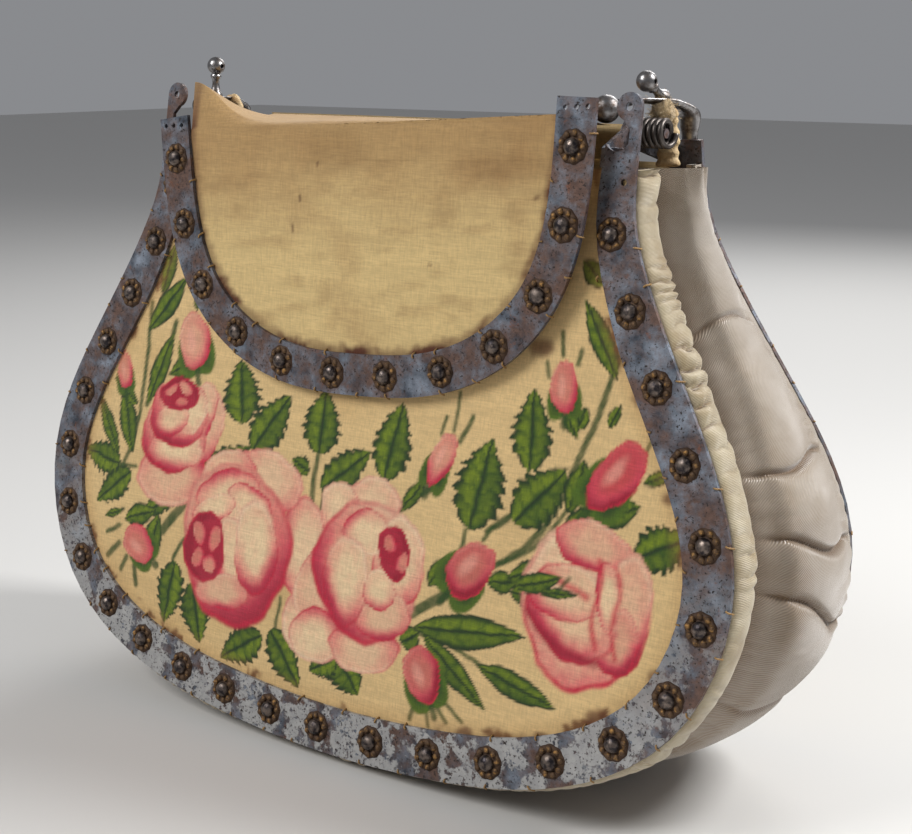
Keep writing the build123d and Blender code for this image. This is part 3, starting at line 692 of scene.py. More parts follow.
def dome(place, radius, height, rings, sides):
    """Corners and faces of a low dome that stands on a place."""
    falls = [pi / 2 * ring / rings for ring in range(1, rings + 1)]
    skirt, nets = spun([(radius * sin(fall), height * cos(fall)) for fall in falls], sides)
    corners = [(place[0] + x, place[1] + y, place[2] + z) for x, y, z in [(0, 0, height)] + skirt]
    faces = [(0, 1 + side, 1 + (side + 1) % sides) for side in range(sides)]
    faces += [(a + 1, d + 1, c + 1, b + 1) for a, b, c, d in nets]
    return corners, faces


def gather_up(parts):
    """Join lists of corners and faces into one."""
    corners, faces = [], []
    for more_corners, more_faces in parts:
        start = len(corners)
        corners += more_corners
        faces += [tuple(start + n for n in face) for face in more_faces]
    return corners, faces


def washer():
    """One stamped washer lying at the origin, with nine beads in a ring."""
    profile = [(0.9, 0.42), (1.6, 0.46), (1.9, 0.22), (2.2, 0.2), (2.55, 0.42)]
    profile += [(3.1, 0.44), (3.45, 0.3), (3.7, 0.05), (3.72, 0.0)]
    sides = 36
    corners = []
    for radius, height in profile:
        for turn in [2 * pi * side / sides for side in range(sides)]:
            wide = radius + (0.12 * cos(9 * turn) if radius > 3 else 0)
            corners.append((wide * cos(turn), wide * sin(turn), height))
    plate = (corners, [face[::-1] for face in grid_faces(len(profile), sides, True)])
    turns = [2 * pi * n / 9 for n in range(9)]
    beads = [dome((2.78 * cos(turn), 2.78 * sin(turn), 0.3), 0.78, 0.62, 4, 10) for turn in turns]
    return gather_up([plate] + beads)


def grey_paint(obj, values, layer):
    """Keep one value from 0 to 1 on each of a piece's own corners."""
    paint_on(obj, np.repeat(np.clip(values, 0, 1).ravel()[:, None], 3, axis=1), layer)


STRIP_THICK = 1.0
HEAD_AT = (0, 0, 0.55)


def studs(name, places, put_at, body, replaced):
    """A row of washers and the rivets that hold them, as two pieces."""
    washer_corners, washer_faces = washer()
    rivet_corners, rivet_faces = dome(HEAD_AT, 1.85, 1.3, 6, 22)
    rng = np.random.default_rng(len(places) * 7 + len(name))
    for kind, corners, faces, material, slot, old in (
        ("bead_washers", washer_corners, washer_faces, washer_brass, "rusted_rosette", replaced[0]),
        ("rivet_heads", rivet_corners, rivet_faces, rivet_iron, "dark_rivet", replaced[1]),
    ):
        parts = []
        for out_at, up_at in places:
            turn = rng.uniform(0, 2 * pi)
            size = rng.uniform(0.95, 1.0)
            tip = rng.uniform(-0.03, 0.03)
            here = []
            for x, y, z in corners:
                turned_x = out_at + size * (x * cos(turn) - y * sin(turn))
                turned_y = up_at + size * (x * sin(turn) + y * cos(turn))
                here.append(put_at(turned_x, turned_y, STRIP_THICK + max(0.0, z + tip * x)))
            parts.append((here, faces))
        all_corners, all_faces = gather_up(parts)
        if put_at is back_at:
            all_faces = [face[::-1] for face in all_faces]
        obj = add_piece(f"{name}_{kind}", all_corners, all_faces, material)
        if kind == "bead_washers":
            grey_paint(obj, np.tile((np.array(corners)[:, 2] - 0.25) / 0.6, len(places)), "height")
        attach(obj, body)
        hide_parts(old)


def stud_places():
    """Thirteen studs up each side, at a shorter pitch on the left than on the right."""
    places, _, length = horseshoe(HALF_LINE, 4000)
    shares = [0.5 + (-1.4 + 16.4 * n) / length for n in range(13)]
    shares += [0.5 - (1.4 + 15.2 * n) / length for n in range(1, 14)]
    return [tuple(places[int(round(share * 4000))]) for share in shares if 0 < share < 1]


studs("front", stud_places(), front_at, "front", ("front_rosettes", "front_rivets"))
studs("back", [(-x, y) for x, y in stud_places()], back_at, "root", ("back_rosettes", "back_rivets"))

# Silk rolls: a strip of fine ribbed silk is gathered over a cord of wadding, and the
# roll is sewn behind each frame's outer edge, so it stands out a little beyond it.
silk = finish("ruched_silk", 0.42, sheen=0.4)
run_map = put(silk, "ShaderNodeUVMap", uv_map="run").outputs["UV"]
rib_lines = {"Vector": run_map, "Scale": 1100.0, "Distortion": 0.8, "Detail": 2.0}
ribs = put(silk, "ShaderNodeTexWave", rib_lines).outputs["Fac"]
silk_hue = mottled(silk, speckle(silk, 150, 5), 0.36, 0.7, rgb(196, 182, 152), rgb(158, 136, 100))
# the depth layer darkens the folds of the gathers with painted shade
fold_shade = put(silk, "ShaderNodeVertexColor", layer_name="depth").outputs["Color"]
silk_hue = tint(silk, times(silk, ribs, 0.3), silk_hue, rgb(120, 104, 76))
dress(silk, tint(silk, fold_shade, rgb(110, 84, 54), silk_hue), None, ribs, 0.00008)

satin = finish("gusset_satin", 0.3, sheen=0.5)
satin.node_tree.nodes["Principled BSDF"].inputs["Anisotropic"].default_value = 0.6
satin_map = put(satin, "ShaderNodeUVMap", uv_map="run").outputs["UV"]
slant = put(satin, "ShaderNodeMapping", {"Vector": satin_map, "Rotation": (0, 0, 0.5)}).outputs[0]
twill_lines = {"Vector": slant, "Scale": 760.0, "Distortion": 1.1, "Detail": 2.0}
twill = put(satin, "ShaderNodeTexWave", twill_lines).outputs["Fac"]
satin_hue = mottled(satin, speckle(satin, 38, 6, 0.6), 0.40, 0.66, rgb(184, 172, 158), rgb(152, 134, 112))
# this layer lays ochre both for cloudy marks and for painted shade in the creases, the valley and towards the
# bottom
stain_and_shade_share = put(satin, "ShaderNodeVertexColor", layer_name="stain_and_shade").outputs["Color"]
satin_hue = tint(satin, stain_and_shade_share, satin_hue, rgb(112, 86, 56))
satin_hue = shaded(satin, satin_hue, between(satin, twill, 0.0, 1.0, 0.8, 1.08))
satin_rough = between(satin, speckle(satin, 120, 4), 0.3, 0.7, 0.3, 0.44)
dress(satin, satin_hue, satin_rough, twill, 0.00008)


OUT_PER_DOWN = 0.16196


def half_gap(height):
    """Distance of each leaning face from the middle plane, in mm."""
    return 10.5 + (150.585 - height) * OUT_PER_DOWN


def along_u(count, top):
    """Stations up both arms of the U as far as a height on the face."""
    places, ways, length = horseshoe(HALF_LINE, count)
    inside = places[:, 1] <= top
    return places[inside], ways[inside], np.flatnonzero(inside) / count * length, length


def band_corners(places, ways, offset, depth_at):
    """Corners of a piece that runs round the U and lies flat where it meets the floor."""
    x = places[:, :1] + ways[:, 1:] * offset
    z = np.maximum(BASE + (places[:, 1:] - ways[:, :1] * offset) * cos(LEAN), 0.4)
    return np.stack([x, depth_at(z), z], axis=2).reshape(-1, 3)


def lay_out(obj, run, across_run):
    """Flat pattern coordinates in metres for the weave to follow."""
    layer = obj.data.uv_layers.new(name="run")
    index = np.zeros(len(obj.data.loops), int)
    obj.data.loops.foreach_get("vertex_index", index)
    flat = np.stack([run.ravel()[index], across_run.ravel()[index]], axis=1) / 1000
    layer.data.foreach_set("uv", flat.ravel())


def pleats(run, drift, low, high, seed):
    """Ridges of uneven width along a gathered edge, from 0 in the folds to 1."""
    widths = np.random.default_rng(seed).uniform(low, high, 900)
    phase = np.interp(run, np.cumsum(widths) - 60, np.arange(900)) + drift
    return np.abs(np.sin(pi * phase)) ** 0.7


ROLL_TOP = 131
for name, depth, body in (("front", 8.0, "front"), ("back", 5.0, "root")):
    places, ways, run, _ = along_u(1700, ROLL_TOP)
    turns = np.concatenate([np.linspace(0, pi, 13), [pi, 0]])[None, :]
    roof = np.concatenate([np.ones(13), [0, 0]])[None, :]
    along = run[:, None] + 0 * turns
    drift = 0.5 * clouds(along, 9 * turns, 8, 101 + len(name), 2)
    ridge = pleats(run[:, None], drift, 2.0, 5.5, 3 + len(name))
    bunch = soft(clouds(along, 4 * turns, 19, 111 + len(name), 2), -0.15, 0.45) + 0.12
    inward = depth / 2 * (1 - np.cos(turns)) * (1 - 0.02 * ridge) + 0.02
    faces = grid_faces(len(run), turns.shape[1], True)
    if name == "front":
        swell = (2.2 + 2.3 * bunch * (ridge - 0.5)) * np.sin(turns) ** 0.8
        offset = 4.6 + swell * roof - 0.3 * (1 - roof)
        corners = band_corners(places, ways, offset, lambda z: -half_gap(z) + inward)
    else:
        offset = 4.5 + (2.1 + 0.8 * bunch * (ridge - 0.5)) * np.sin(turns / 2) ** 0.7 * roof
        corners = band_corners(places, ways, offset, lambda z: half_gap(z) - inward)
        faces = [face[::-1] for face in faces]
    roll = add_piece(f"{name}_silk_roll", corners, faces, silk if name == "front" else satin)
    lay_out(roll, along, inward + 0 * offset)
    # painted shade in the folds of the gathers, strongest where they bunch
    grey_paint(roll, 1 - bunch * (1 - soft(ridge, 0.02, 0.5)), "depth")
    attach(roll, body)
    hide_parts(f"{name}_binding")

# Satin gusset: one long strip gathered into both rolls. It dips into a deep valley by
# the front frame and puffs out behind it, pinched by creases where it takes the turn.
# PUFF is its outline from roll to roll. A crease has a place along the U, a slope and
# a strength.
PUFF = [(0, 0), (0.07, -0.7), (0.16, -1.0), (0.26, -0.4), (0.4, 0.45)]
PUFF += [(0.55, 0.92), (0.7, 1.0), (0.86, 0.82), (1.0, 0.45)]
CREASES = [(0.08, 0.0, 1), (0.16, 0.01, 1), (0.2, 0.012, 1), (0.24, 0.024, 1), (0.3, -0.01, 0.5)]
CREASES += [(0.36, 0.01, 0.4), (0.56, -0.006, 0.4), (0.65, -0.01, 0.4), (0.715, -0.02, 0.45)]
CREASES += [(0.76, -0.034, 1), (0.79, -0.014, 1), (0.826, -0.002, 1), (0.9, 0.004, 0.6)]
FRONT_SEAM = 8.15
BACK_SEAM = 5.15


def between_rolls(part):
    """Depths from the front roll's back to the back roll's front."""

    def depth_at(height):
        front = -half_gap(height) + FRONT_SEAM
        return front + (half_gap(height) - BACK_SEAM - front) * part

    return depth_at


places, ways, run, length = along_u(1300, ROLL_TOP)
parts = np.linspace(0, 1, 56)[None, :]
profile, _, _ = through(PUFF, 600)
share = run[:, None] / length
narrow = 0.35 * soft(np.abs(share - 0.5), 0.44, 0.3)
rise = np.interp(parts ** (1 - narrow), profile[:, 0], profile[:, 1])
tuck, crisp = 0, 0
for at, slope, strength in CREASES:
    away = share - at - slope * (parts - 0.6) - 0.003 * np.sin(7 * parts + 40 * at)
    crisp = crisp + strength * np.exp(-((away / 0.0016) ** 2))
    reach = np.where(away > 0, 0.012, 0.003)
    tuck = tuck + strength * np.exp(-np.abs(away) / reach)
holds = soft(parts, 0.08, 0.34) * soft(parts, 1.04, 0.9)
full = 2.9 * (1 - 0.35 * np.exp(-(((share - 0.5) / 0.16) ** 2)))
full = full + 1.6 * soft(np.abs(np.abs(share - 0.5) - 0.27), 0.08, 0.0)
offset = 4.4 + np.where(rise < 0, rise * 7, rise * (full + 3.4)) - holds * (1.5 * tuck + 1.2 * crisp)
middle_run = run[:, None] + 0 * parts
gathers = pleats(middle_run, 0.3 * clouds(middle_run, 14 * parts, 5, 121, 2), 2.6, 5.4, 19) - 0.5
at_edges = np.exp(-parts / 0.16) + 0.8 * np.exp(-(1 - parts) / 0.10)
offset = offset + 0.9 * gathers * at_edges
from_top = np.minimum(middle_run, run[-1] - middle_run)
offset = offset + 0.8 * np.sin(34 * parts + 2 * np.sin(5 * parts)) * np.exp(-from_top / 4.5)
folds = clouds(middle_run + 6 * np.sin(3 * parts), 14 * parts, 13, 131, 3)
offset = offset + 0.9 * folds * np.sin(pi * parts) ** 0.7 * (0.5 + 0.5 * soft(np.abs(share - 0.5), 0.02, 0.2))
corners = band_corners(places, ways, offset, between_rolls(parts))
gusset_satin = add_piece("gusset_satin", corners, grid_faces(len(run), 56), satin)
lay_out(gusset_satin, middle_run, 55 * parts + 0 * offset)
# cloudy darkening near the back roll and near the front roll
stain_and_shade = soft(parts, 0.8, 0.98) * soft(clouds(middle_run, 30 * parts, 14, 141, 3), 0.0, 0.5)
stain_and_shade = stain_and_shade + 0.5 * soft(parts, 0.3, 0.1) * soft(clouds(middle_run, 30 * parts, 18, 151, 3), 0.0, 0.6)
# painted shade along the creases and in the valley behind the front roll
stain_and_shade = stain_and_shade + 1.1 * holds * crisp + 0.3 * holds * tuck + 0.5 * soft(rise, 0.3, -0.7)
# painted shade, darker towards the bottom of the U
stain_and_shade = stain_and_shade + 0.6 * soft(np.abs(share - 0.5), 0.34, 0.2)
grey_paint(gusset_satin, 0.75 * stain_and_shade, "stain_and_shade")
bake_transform(gusset_satin)
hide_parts("gusset")

# Gusset lining: the same kid as inside the faces, sewn in with the satin and hanging
# a little slack inside it.
LINING = [(0.0, -2.1), (0.05, -6.6), (0.16, -8.8), (0.28, -7.4), (0.5, -5.0), (0.86, -4.6), (1.0, -2.1)]
places, ways, run, _ = along_u(420, 130.8)
parts = np.linspace(0, 1, 26)[None, :]
profile, _, _ = through(LINING, 400)
offset = 4.6 + np.interp(parts, profile[:, 0], profile[:, 1]) + 0 * run[:, None] - 0.4
offset = offset + 0.3 * clouds(run[:, None] + 0 * parts, 30 * parts, 12, 161, 2) * np.sin(pi * parts)
faces = [face[::-1] for face in grid_faces(len(run), 26)]
corners = band_corners(places, ways, offset, between_rolls(parts))
gusset_kid = add_piece("gusset_kid_lining", corners, faces, kid)
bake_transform(gusset_kid)
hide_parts("gusset_lining")

# Flap: a smaller horseshoe of the same steel over a leaf of cloth that folds back
# across the mouth to the back face. Its top left corner has worked up into a peak.
FLAP_LINE = [(0, -59.1), (23.7, -57.0), (38.2, -50.8), (49.2, -40.2), (55.2, -26), (57.6, -10), (58.4, 0)]
FLAP_SKEW = radians(3.5)
FLAP_TIP = radians(4.5)
FLAP_Y = -17.556
FLAP_Z = 147.675
give("flap_frame", worn_steel("worn_flap_steel", False))


def flap_at(out, up, off=0.0):
    """Place on the flap, which hangs a little askew over the front face."""
    x = out * cos(FLAP_SKEW) - up * sin(FLAP_SKEW) - 1
    rise = out * sin(FLAP_SKEW) + up * cos(FLAP_SKEW)
    y = FLAP_Y + rise * sin(FLAP_TIP) - off * cos(FLAP_TIP)
    return (x, y, FLAP_Z + rise * cos(FLAP_TIP) + off * sin(FLAP_TIP))


def flap_paint(out, up):
    """Tan cloth, darker towards the fold and where rust and handling have marked it."""
    global grain, paint
    grain = clouds(out, up, 1.3, 171, 2)
    paint = np.ones(out.shape + (3,)) * np.array(rgb(206, 178, 122)[:3])
    brush(soft(up + 6 * clouds(out, up, 22, 181, 3), -36, 0) * 0.85, rgb(160, 124, 78))
    brush(soft(clouds(out, up, 16, 191, 4), 0.1, 0.8) * 0.3, rgb(150, 112, 68))
    brush(soft(clouds(out, 3 * up, 9, 196, 4), 0.0, 0.8) * 0.3, rgb(132, 98, 58))
    for x, y, wide, tall, seed, depth, hue in (
        (-8, -9, 12, 5, 197, 0.4, rgb(132, 98, 56)),
        (40, -13, 15, 5, 198, 0.45, rgb(128, 92, 52)),
    ):
        patch = np.hypot((out - x) / wide, (up - y) / tall) + 0.3 * clouds(out, up, 5, seed, 3)
        brush(soft(patch, 1.2, 0.3) * depth, hue)
    for x, y, wide, tall in (
        (-22, -9.5, 0.8, 0.9), (-18, -19.5, 0.6, 1.0), (-20.5, -26.5, 0.4, 1.2), (-12.5, -12, 0.45, 0.45),
        (20, -34, 0.6, 0.5), (48, -20, 0.9, 0.6),
    ):
        speck = np.hypot((out - x) / wide, (up - y) / tall) + 0.4 * grain
        brush(soft(speck, 1.3, 0.5) * 0.7, rgb(84, 50, 26))
    ragged = from_edge(out, up, FLAP_LINE, 4.6, 120) + 1.0 * clouds(out, up, 2.4, 203, 2)
    rusty = 0.45 + 0.55 * soft(clouds(out, up, 6, 201, 3), -0.1, 0.4)
    brush(soft(ragged, 2.8, 0.6) * soft(up, 3, -2) * rusty, rgb(88, 46, 20))
    return paint


out, up = filled_u(FLAP_LINE, 3.5, -0.3, 130, 170)
up = np.minimum(up, -3.2)
leaf_corners = laid_on(flap_at, out, up, -0.04)
leaf_paint = flap_paint(out, up)

web_columns = 150
web_out = np.linspace(-54, 53, web_columns)
peak = 10.0 * np.exp(-(((web_out + 54) / 11) ** 2))
back_z = 144.5
back_y = half_gap(back_z) - 1.0
fold_up = -2.2 - 0.022 * (web_out + 54)
front_z = FLAP_Z + 0.6 + (web_out + 1) * sin(FLAP_SKEW) + fold_up
net, net_up = [], []
for drop, off in ((-8, 0.0), (-5, 0.1), (-2.4, 0.25), (-0.9, 0.2), (-0.1, 0.0)):
    hung = drop + fold_up
    net.append(laid_on(flap_at, web_out + 1 + hung * 0.061, hung, off))
    net_up.append(drop - 3)
for part in np.linspace(0.02, 1, 34):
    sag = (0.9 - 1.6 * part) * sin(pi * part) + peak * (1 - part) ** 2.2
    crumple = clouds(web_out, np.full(web_columns, 20 * part), 12, 211, 3)
    crumple = crumple * sin(pi * min(1, part * 1.4 + 0.1))
    height = front_z + (back_z - 0.2 - front_z) * part + sag + 0.5 * crumple
    depth = FLAP_Y + 0.4 + 1.0 * part**0.4 + (back_y - FLAP_Y - 1.4) * part
    drawn_in = web_out - 4 * part * np.maximum(0, web_out / 53)
    net.append(np.stack(np.broadcast_arrays(drawn_in, depth, height), axis=-1))
    net_up.append(26 * part)
net_out, net_up = np.meshgrid(web_out, net_up)
web_paint = flap_paint(net_out, net_up)
faces = grid_faces(*out.shape)
faces += [tuple(len(leaf_corners) + n for n in face) for face in grid_faces(len(net), web_columns)]
flap_cotton = woven("flap_cotton", "paint")
flap_cloth = add_piece("flap_cloth", np.concatenate([leaf_corners] + net), faces, flap_cotton)
paint_on(flap_cloth, np.concatenate([leaf_paint.reshape(-1, 3), web_paint.reshape(-1, 3)]))
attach(flap_cloth, "flap")
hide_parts("flap_panel", "flap_web")

places, _, length = horseshoe(FLAP_LINE, 4000)
flap_studs = [tuple(places[int(round(4000 * (0.5 + (n - 5.5) * 15.8 / length)))]) for n in range(12)]
studs("flap", flap_studs, flap_at, "flap", ("flap_rosettes", "flap_rivets"))

# Hinges: dark wire springs on pins between blued lugs, under a bow stamped from polished
# steel sheet that ends in a bulb in front and in a foot riveted to the back arm. A ball
# drilled through for the chain is screwed to each bow.
bright_steel = finish("polished_steel", 0.2, 1.0)
tarnish = between(bright_steel, speckle(bright_steel, 420, 5, 0.65), 0.44, 0.66)
bright_hue = tint(bright_steel, tarnish, rgb(140, 138, 138), rgb(74, 62, 54))
bright_rough = between(bright_steel, tarnish, 0, 1, 0.28, 0.6)
dress(bright_steel, bright_hue, bright_rough, speckle(bright_steel, 1400, 3), 0.00006)
spring_steel = finish("spring_steel", 0.42, 0.9)
spring_hue = tint(spring_steel, speckle(spring_steel, 700, 4), rgb(54, 48, 44), rgb(112, 106, 102))
dress(spring_steel, spring_hue, None, speckle(spring_steel, 1400, 3), 0.00006)
lug_steel = worn_steel("lug_steel", False)
for side in ("left", "right"):
    for node in ("front_lug", "back_lug", "hinge_pin"):
        give(f"{side}_{node}", lug_steel)

ARM_OUTER = 68.55
PIN_Z = 143.585
HALF_AT_PIN = 11.63
# stations of the bow: in from the arm, share of the way back, height over the pin, half
# width and depth of the pressing
BOW = [(10.6, -0.72, 3.4, 1.7, 1.5), (10.1, -0.64, 6.0, 2.3, 2.0), (8.5, -0.31, 6.9, 2.1, 1.5)]
BOW += [(6.5, 0.17, 7.0, 2.0, 1.3), (4.5, 0.70, 6.2, 2.4, 1.5), (3.3, 1.05, 3.8, 2.8, 1.6)]


def curve_through(points, count):
    """Places, and values that go with them, run smoothly through a few stations."""
    stations = np.array(points, float)
    steps = np.concatenate([[0], np.cumsum(np.linalg.norm(np.diff(stations[:, :3], axis=0), axis=1))])
    fine = np.linspace(0, steps[-1], count)
    slopes = np.gradient(stations, steps, axis=0)
    span = np.clip(np.searchsorted(steps, fine, side="right") - 1, 0, len(stations) - 2)
    gap = (steps[span + 1] - steps[span])[:, None]
    t = (fine - steps[span])[:, None] / gap
    start, end = stations[span], stations[span + 1]
    return (
        (2 * t**3 - 3 * t**2 + 1) * start
        + (t**3 - 2 * t**2 + t) * gap * slopes[span]
        + (3 * t**2 - 2 * t**3) * end
        + (t**3 - t**2) * gap * slopes[span + 1]
    )


def tube(spine, section):
    """Corners and faces of a closed bar; its section at each station is given across and up."""
    spine = np.array(spine, float)
    ways = np.gradient(spine, axis=0)
    ways /= np.linalg.norm(ways, axis=1)[:, None]
    corners = []
    for n, (place, way) in enumerate(zip(spine, ways)):
        level = np.array([1.0, 0, 0]) - way * way[0]
        if np.linalg.norm(level) < 0.3:
            level = np.array([0, 0, 1.0]) - way * way[2]
        level /= np.linalg.norm(level)
        rise = np.cross(level, way)
        corners += [tuple(place + level * a + rise * b) for a, b in section(n)]
    size = len(section(0))
    faces = grid_faces(len(spine), size, True)
    faces += [tuple(range(size))[::-1], tuple(range(len(corners) - size, len(corners)))]
    return corners, faces


def ring_of(radius, sides):
    """Places round a circle, as pairs."""
    return [(radius * cos(2 * pi * k / sides), radius * sin(2 * pi * k / sides)) for k in range(sides)]


def ball_parts(place, radius, rings=14, sides=26):
    """Corners and faces of a whole ball."""
    falls = [pi * (0.001 + 0.998 * ring / rings) for ring in range(rings + 1)]
    corners, faces = spun([(radius * sin(fall), radius * cos(fall)) for fall in falls], sides)
    corners = [(place[0] + x, place[1] + y, place[2] + z) for x, y, z in corners]
    return corners, [face[::-1] for face in faces]


stations = []
for inset, share, rise, half, tall in BOW:
    stations.append((ARM_OUTER - inset, share * HALF_AT_PIN, PIN_Z + rise, half, tall))
for above, half, tall in ((1.0, 2.0, 1.2), (-3.0, 1.8, 1.1), (-7.0, 1.5, 0.9)):
    stations.append((*back_at(ARM_OUTER - 3.5, 136 + above, 1.4), half, tall))
bow_line = curve_through(stations, 90)


def bow_section(n):
    """Pressed half round, hollow beneath."""
    half, tall = bow_line[n, 3:5]
    outer = [(half * cos(pi * k / 14), -tall * sin(pi * k / 14)) for k in range(15)]
    inner = [((half - 0.45) * cos(pi * k / 14), -(tall - 0.45) * sin(pi * k / 14)) for k in range(15)]
    return outer + inner[::-1]


BULB_RADIUS = 2.9
bulb = ball_parts((ARM_OUTER - 10.6, -0.72 * HALF_AT_PIN, PIN_Z + 5.0), BULB_RADIUS)
bow_corners, bow_faces = gather_up([tube(bow_line[:, :3], bow_section), bulb])

COIL_RADIUS = 2.6
WIRE_RADIUS = 0.63
coil = []
for n in range(5 * 30 + 1):
    turn = 2 * pi * n / 30
    coil.append((61.25 + 6.76 * n / 150, COIL_RADIUS * cos(turn), PIN_Z + COIL_RADIUS * sin(turn)))
spring_corners, spring_faces = tube(coil, lambda n: ring_of(WIRE_RADIUS, 10))

BEAD_RADIUS = 2.2
BORE_RADIUS = 0.5
BEAD_SIDES = 28


def finial_parts(root, tilt_x, tilt_y):
    """Ball pierced through for the chain, on a waisted neck, leaning from its root."""
    start = asin(BORE_RADIUS / BEAD_RADIUS)
    bead = []
    for fall in np.linspace(start, pi - start, 26):
        bead.append((max(BORE_RADIUS, BEAD_RADIUS * sin(fall)), BEAD_RADIUS * cos(fall)))
    bead += [(BORE_RADIUS, along) for along in np.linspace(-2.1, 2.1, 8)]
    spun_bead, bead_faces = spun(bead, BEAD_SIDES)
    bead_corners = [(along, across, 7.0 + up) for across, up, along in spun_bead]
    last = (len(bead) - 1) * BEAD_SIDES
    for side in range(BEAD_SIDES):
        after = (side + 1) % BEAD_SIDES
        bead_faces.append((last + side, last + after, after, side))
    neck = [(1.75, -0.3), (1.7, 0.2), (1.25, 0.9), (0.95, 1.9), (0.85, 2.8), (1.0, 3.7)]
    neck += [(1.35, 4.3), (1.35, 4.7), (0.8, 5.3)]
    corners, faces = gather_up([(bead_corners, bead_faces), spun(neck, 20)])
    cx, sx, cy, sy = cos(tilt_x), sin(tilt_x), cos(tilt_y), sin(tilt_y)
    placed = []
    for x, y, z in corners:
        y, z = y * cx - z * sx, y * sx + z * cx
        x, z = x * cy + z * sy, -x * sy + z * cy
        placed.append((root[0] + x, root[1] + y, root[2] + z))
    return placed, faces


for side, sign in (("right", 1), ("left", -1)):
    shift = (0, 0, 0) if sign > 0 else (-2.0, 2 * OUT_PER_DOWN, -2.0)

    def placed(corners, sign=sign, shift=shift):
        return [(sign * x + shift[0], y + shift[1], z + shift[2]) for x, y, z in corners]

    def facing(faces, sign=sign):
        return faces if sign > 0 else [face[::-1] for face in faces]

    bow = add_piece(f"{side}_stamped_bow", placed(bow_corners), facing(bow_faces), bright_steel)
    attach(bow, "root")
    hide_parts(f"{side}_bow")
    spring_at = [(sign * x, y, z) for x, y, z in spring_corners]
    spring = add_piece(f"{side}_coil_spring", spring_at, facing(spring_faces), spring_steel)
    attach(spring, "root")
    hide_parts(f"{side}_hinge_spring")
    if sign > 0:
        root = (ARM_OUTER - 5.7, 0.45 * HALF_AT_PIN, PIN_Z + 7.2)
        finial_corners, finial_faces = finial_parts(root, radians(62), 0)
    else:
        root = (-(ARM_OUTER - 7.0) - 2, -0.07 * HALF_AT_PIN + 2 * OUT_PER_DOWN, PIN_Z + 5.6)
        finial_corners, finial_faces = finial_parts(root, 0, radians(4))
    finial = add_piece(f"{side}_ball_finial", finial_corners, finial_faces, bright_steel)
    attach(finial, "root")
    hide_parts(f"{side}_finial")

# Kid tabs: the gusset lining is drawn up beside each spring as a folded tan strap, and
# on the right a tuft of the wadding has worked out over the top of it.
tan_kid = finish("tan_kid", 0.7)
tan_cells = {"Vector": where(tan_kid), "Scale": 2200.0}
tan_grain = put(tan_kid, "ShaderNodeTexVoronoi", tan_cells).outputs["Distance"]
tan_hue = mottled(tan_kid, speckle(tan_kid, 260, 5), 0.34, 0.68, rgb(206, 182, 140), rgb(160, 124, 80))
dress(tan_kid, tan_hue, None, tan_grain, 0.00008)
strap_path = [(64.2, 6.0, 136.4), (63.9, 6.4, 140), (63.6, 6.6, 144), (63.7, 5.6, 147.2), (64.0, 4.6, 148.0)]


def strap_section(n):
    """Section of the strap, dented along two folds."""
    fold = 1 + 0.08 * sin(n * 0.9) + 0.06 * sin(n * 0.37 + 1)
    ring = []
    for k in range(24):
        turn = 2 * pi * k / 24
        dent = 1 - 0.28 * exp(-(((turn - 4.7) / 0.35) ** 2)) - 0.16 * exp(-(((turn - 3.6) / 0.25) ** 2))
        ring.append((2.5 * fold * dent * cos(turn), 1.6 * fold * dent * sin(turn)))
    return ring


strap_corners, strap_faces = tube(curve_through(strap_path, 40), strap_section)
for side, sign in (("right", 1), ("left", -1)):
    corners = [(sign * x, y, z) for x, y, z in strap_corners]
    faces = strap_faces if sign > 0 else [face[::-1] for face in strap_faces]
    strap = add_piece(f"{side}_kid_tab", corners, faces, tan_kid)
    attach(strap, "root")
    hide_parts(f"{side}_lining_tab")

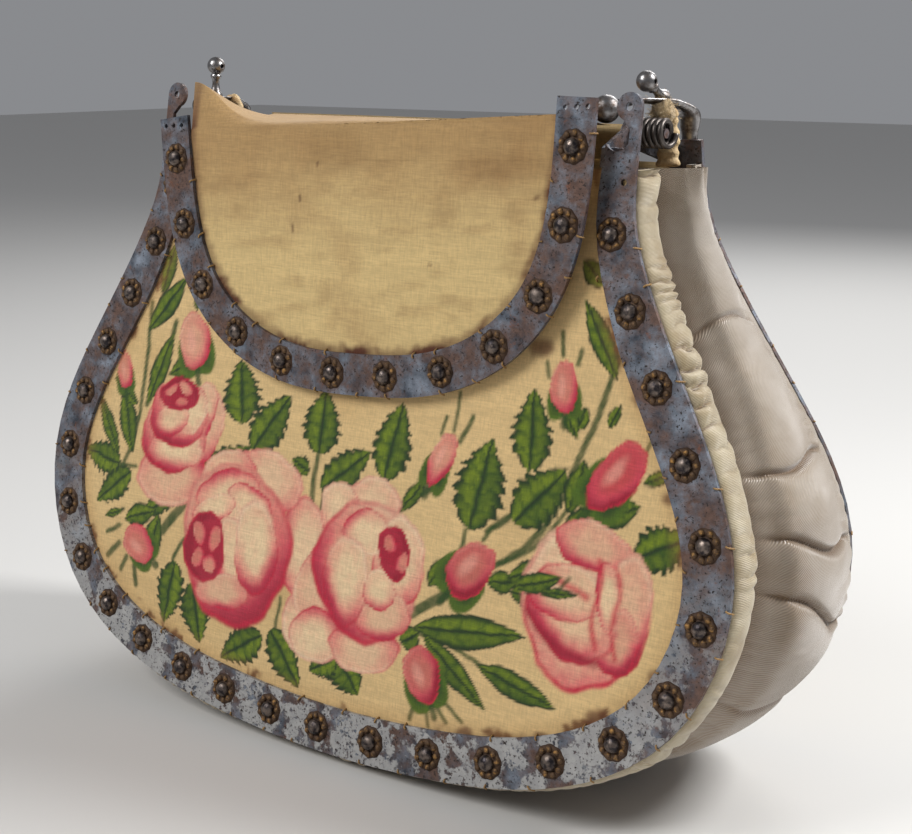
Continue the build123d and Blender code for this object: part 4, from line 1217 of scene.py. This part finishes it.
fluff = finish("cotton_wadding", 0.95, sheen=0.5)
fluff_hue = tint(fluff, speckle(fluff, 900, 6, 0.7), rgb(222, 200, 158), rgb(170, 136, 88))
dress(fluff, fluff_hue, None, speckle(fluff, 2600, 6, 0.8), 0.0004)
TUFT_AT = np.array([63.7, 4.2, 147.6])
tuft_corners, tuft_faces = ball_parts((0, 0, 0), 1.0, 30, 44)
lumps = np.array(tuft_corners)
lump = clouds(lumps[:, 0] * 3 + lumps[:, 2] * 1.3, lumps[:, 1] * 3 - lumps[:, 2] * 1.7, 1.1, 221, 4)
lumps = lumps * (1 + 0.26 * lump)[:, None] * np.array([2.5, 2.2, 2.9]) + TUFT_AT
parts = [([tuple(place) for place in lumps], tuft_faces)]
rng = np.random.default_rng(77)
for _ in range(620):
    way = rng.normal(size=3)
    way /= np.linalg.norm(way)
    root = TUFT_AT + way * np.array([2.35, 2.05, 2.7])
    bend = rng.normal(size=3) * 0.5
    side_way = np.cross(way, rng.normal(size=3))
    side_way /= np.linalg.norm(side_way) / 0.035
    long = rng.uniform(0.5, 1.3)
    line = [root + (way * t + bend * t * t) * long for t in (0, 0.5, 1)]
    hair = [tuple(p - side_way) for p in line] + [tuple(p + side_way) for p in line]
    parts.append((hair, [(0, 1, 4, 3), (1, 2, 5, 4)]))
tuft_corners, tuft_faces = gather_up(parts)
tuft = add_piece("right_cotton_tuft", tuft_corners, tuft_faces, fluff)
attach(tuft, "root")
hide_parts("right_wadding")

# Stitches: a doubled cream thread is whipped over both edges of every strip, and only
# short loops of it are left showing between the studs.
thread = finish("waxed_thread", 0.6)
thread_hue = tint(thread, speckle(thread, 800, 3), rgb(172, 138, 86), rgb(116, 82, 46))
dress(thread, thread_hue, None, speckle(thread, 3000, 2), 0.00006)


def whipping(name, line, reach, top, put_at, body, seed):
    """Short bent loops of thread over the inner and outer edges of a strip."""
    rng = np.random.default_rng(seed)
    places, ways, length = horseshoe(line, 3000)
    parts = []
    for sign in (-1, 1):
        at = 4.0
        while at < length - 4:
            n = int(3000 * at / length)
            at += rng.uniform(6.5, 15)
            if places[n, 1] > top or rng.random() < 0.12:
                continue
            way = ways[n]
            normal = np.array([way[1], -way[0]]) * sign
            slant = way * rng.uniform(-0.7, 0.7)
            loop = []
            for t in [k / 6 for k in range(7)]:
                flat = places[n] + normal * (reach - 0.8 + 1.2 * t) + slant * (t - 0.5) * 1.4
                lift = 1.12 + 0.22 * sin(pi * min(1, 1.5 * t)) - max(0, t - 0.6) * 2.6
                loop.append(put_at(flat[0], flat[1], lift))
            parts.append(tube(loop, lambda k: ring_of(0.2, 6)))
    corners, faces = gather_up(parts)
    obj = add_piece(name, corners, faces, thread)
    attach(obj, body)


whipping("front_stitches", HALF_LINE, 5.45, 124, front_at, "front", 5)
whipping("back_stitches", HALF_LINE, 5.45, 128, back_at, "root", 6)
whipping("flap_stitches", FLAP_LINE, 4.7, -4, flap_at, "flap", 7)
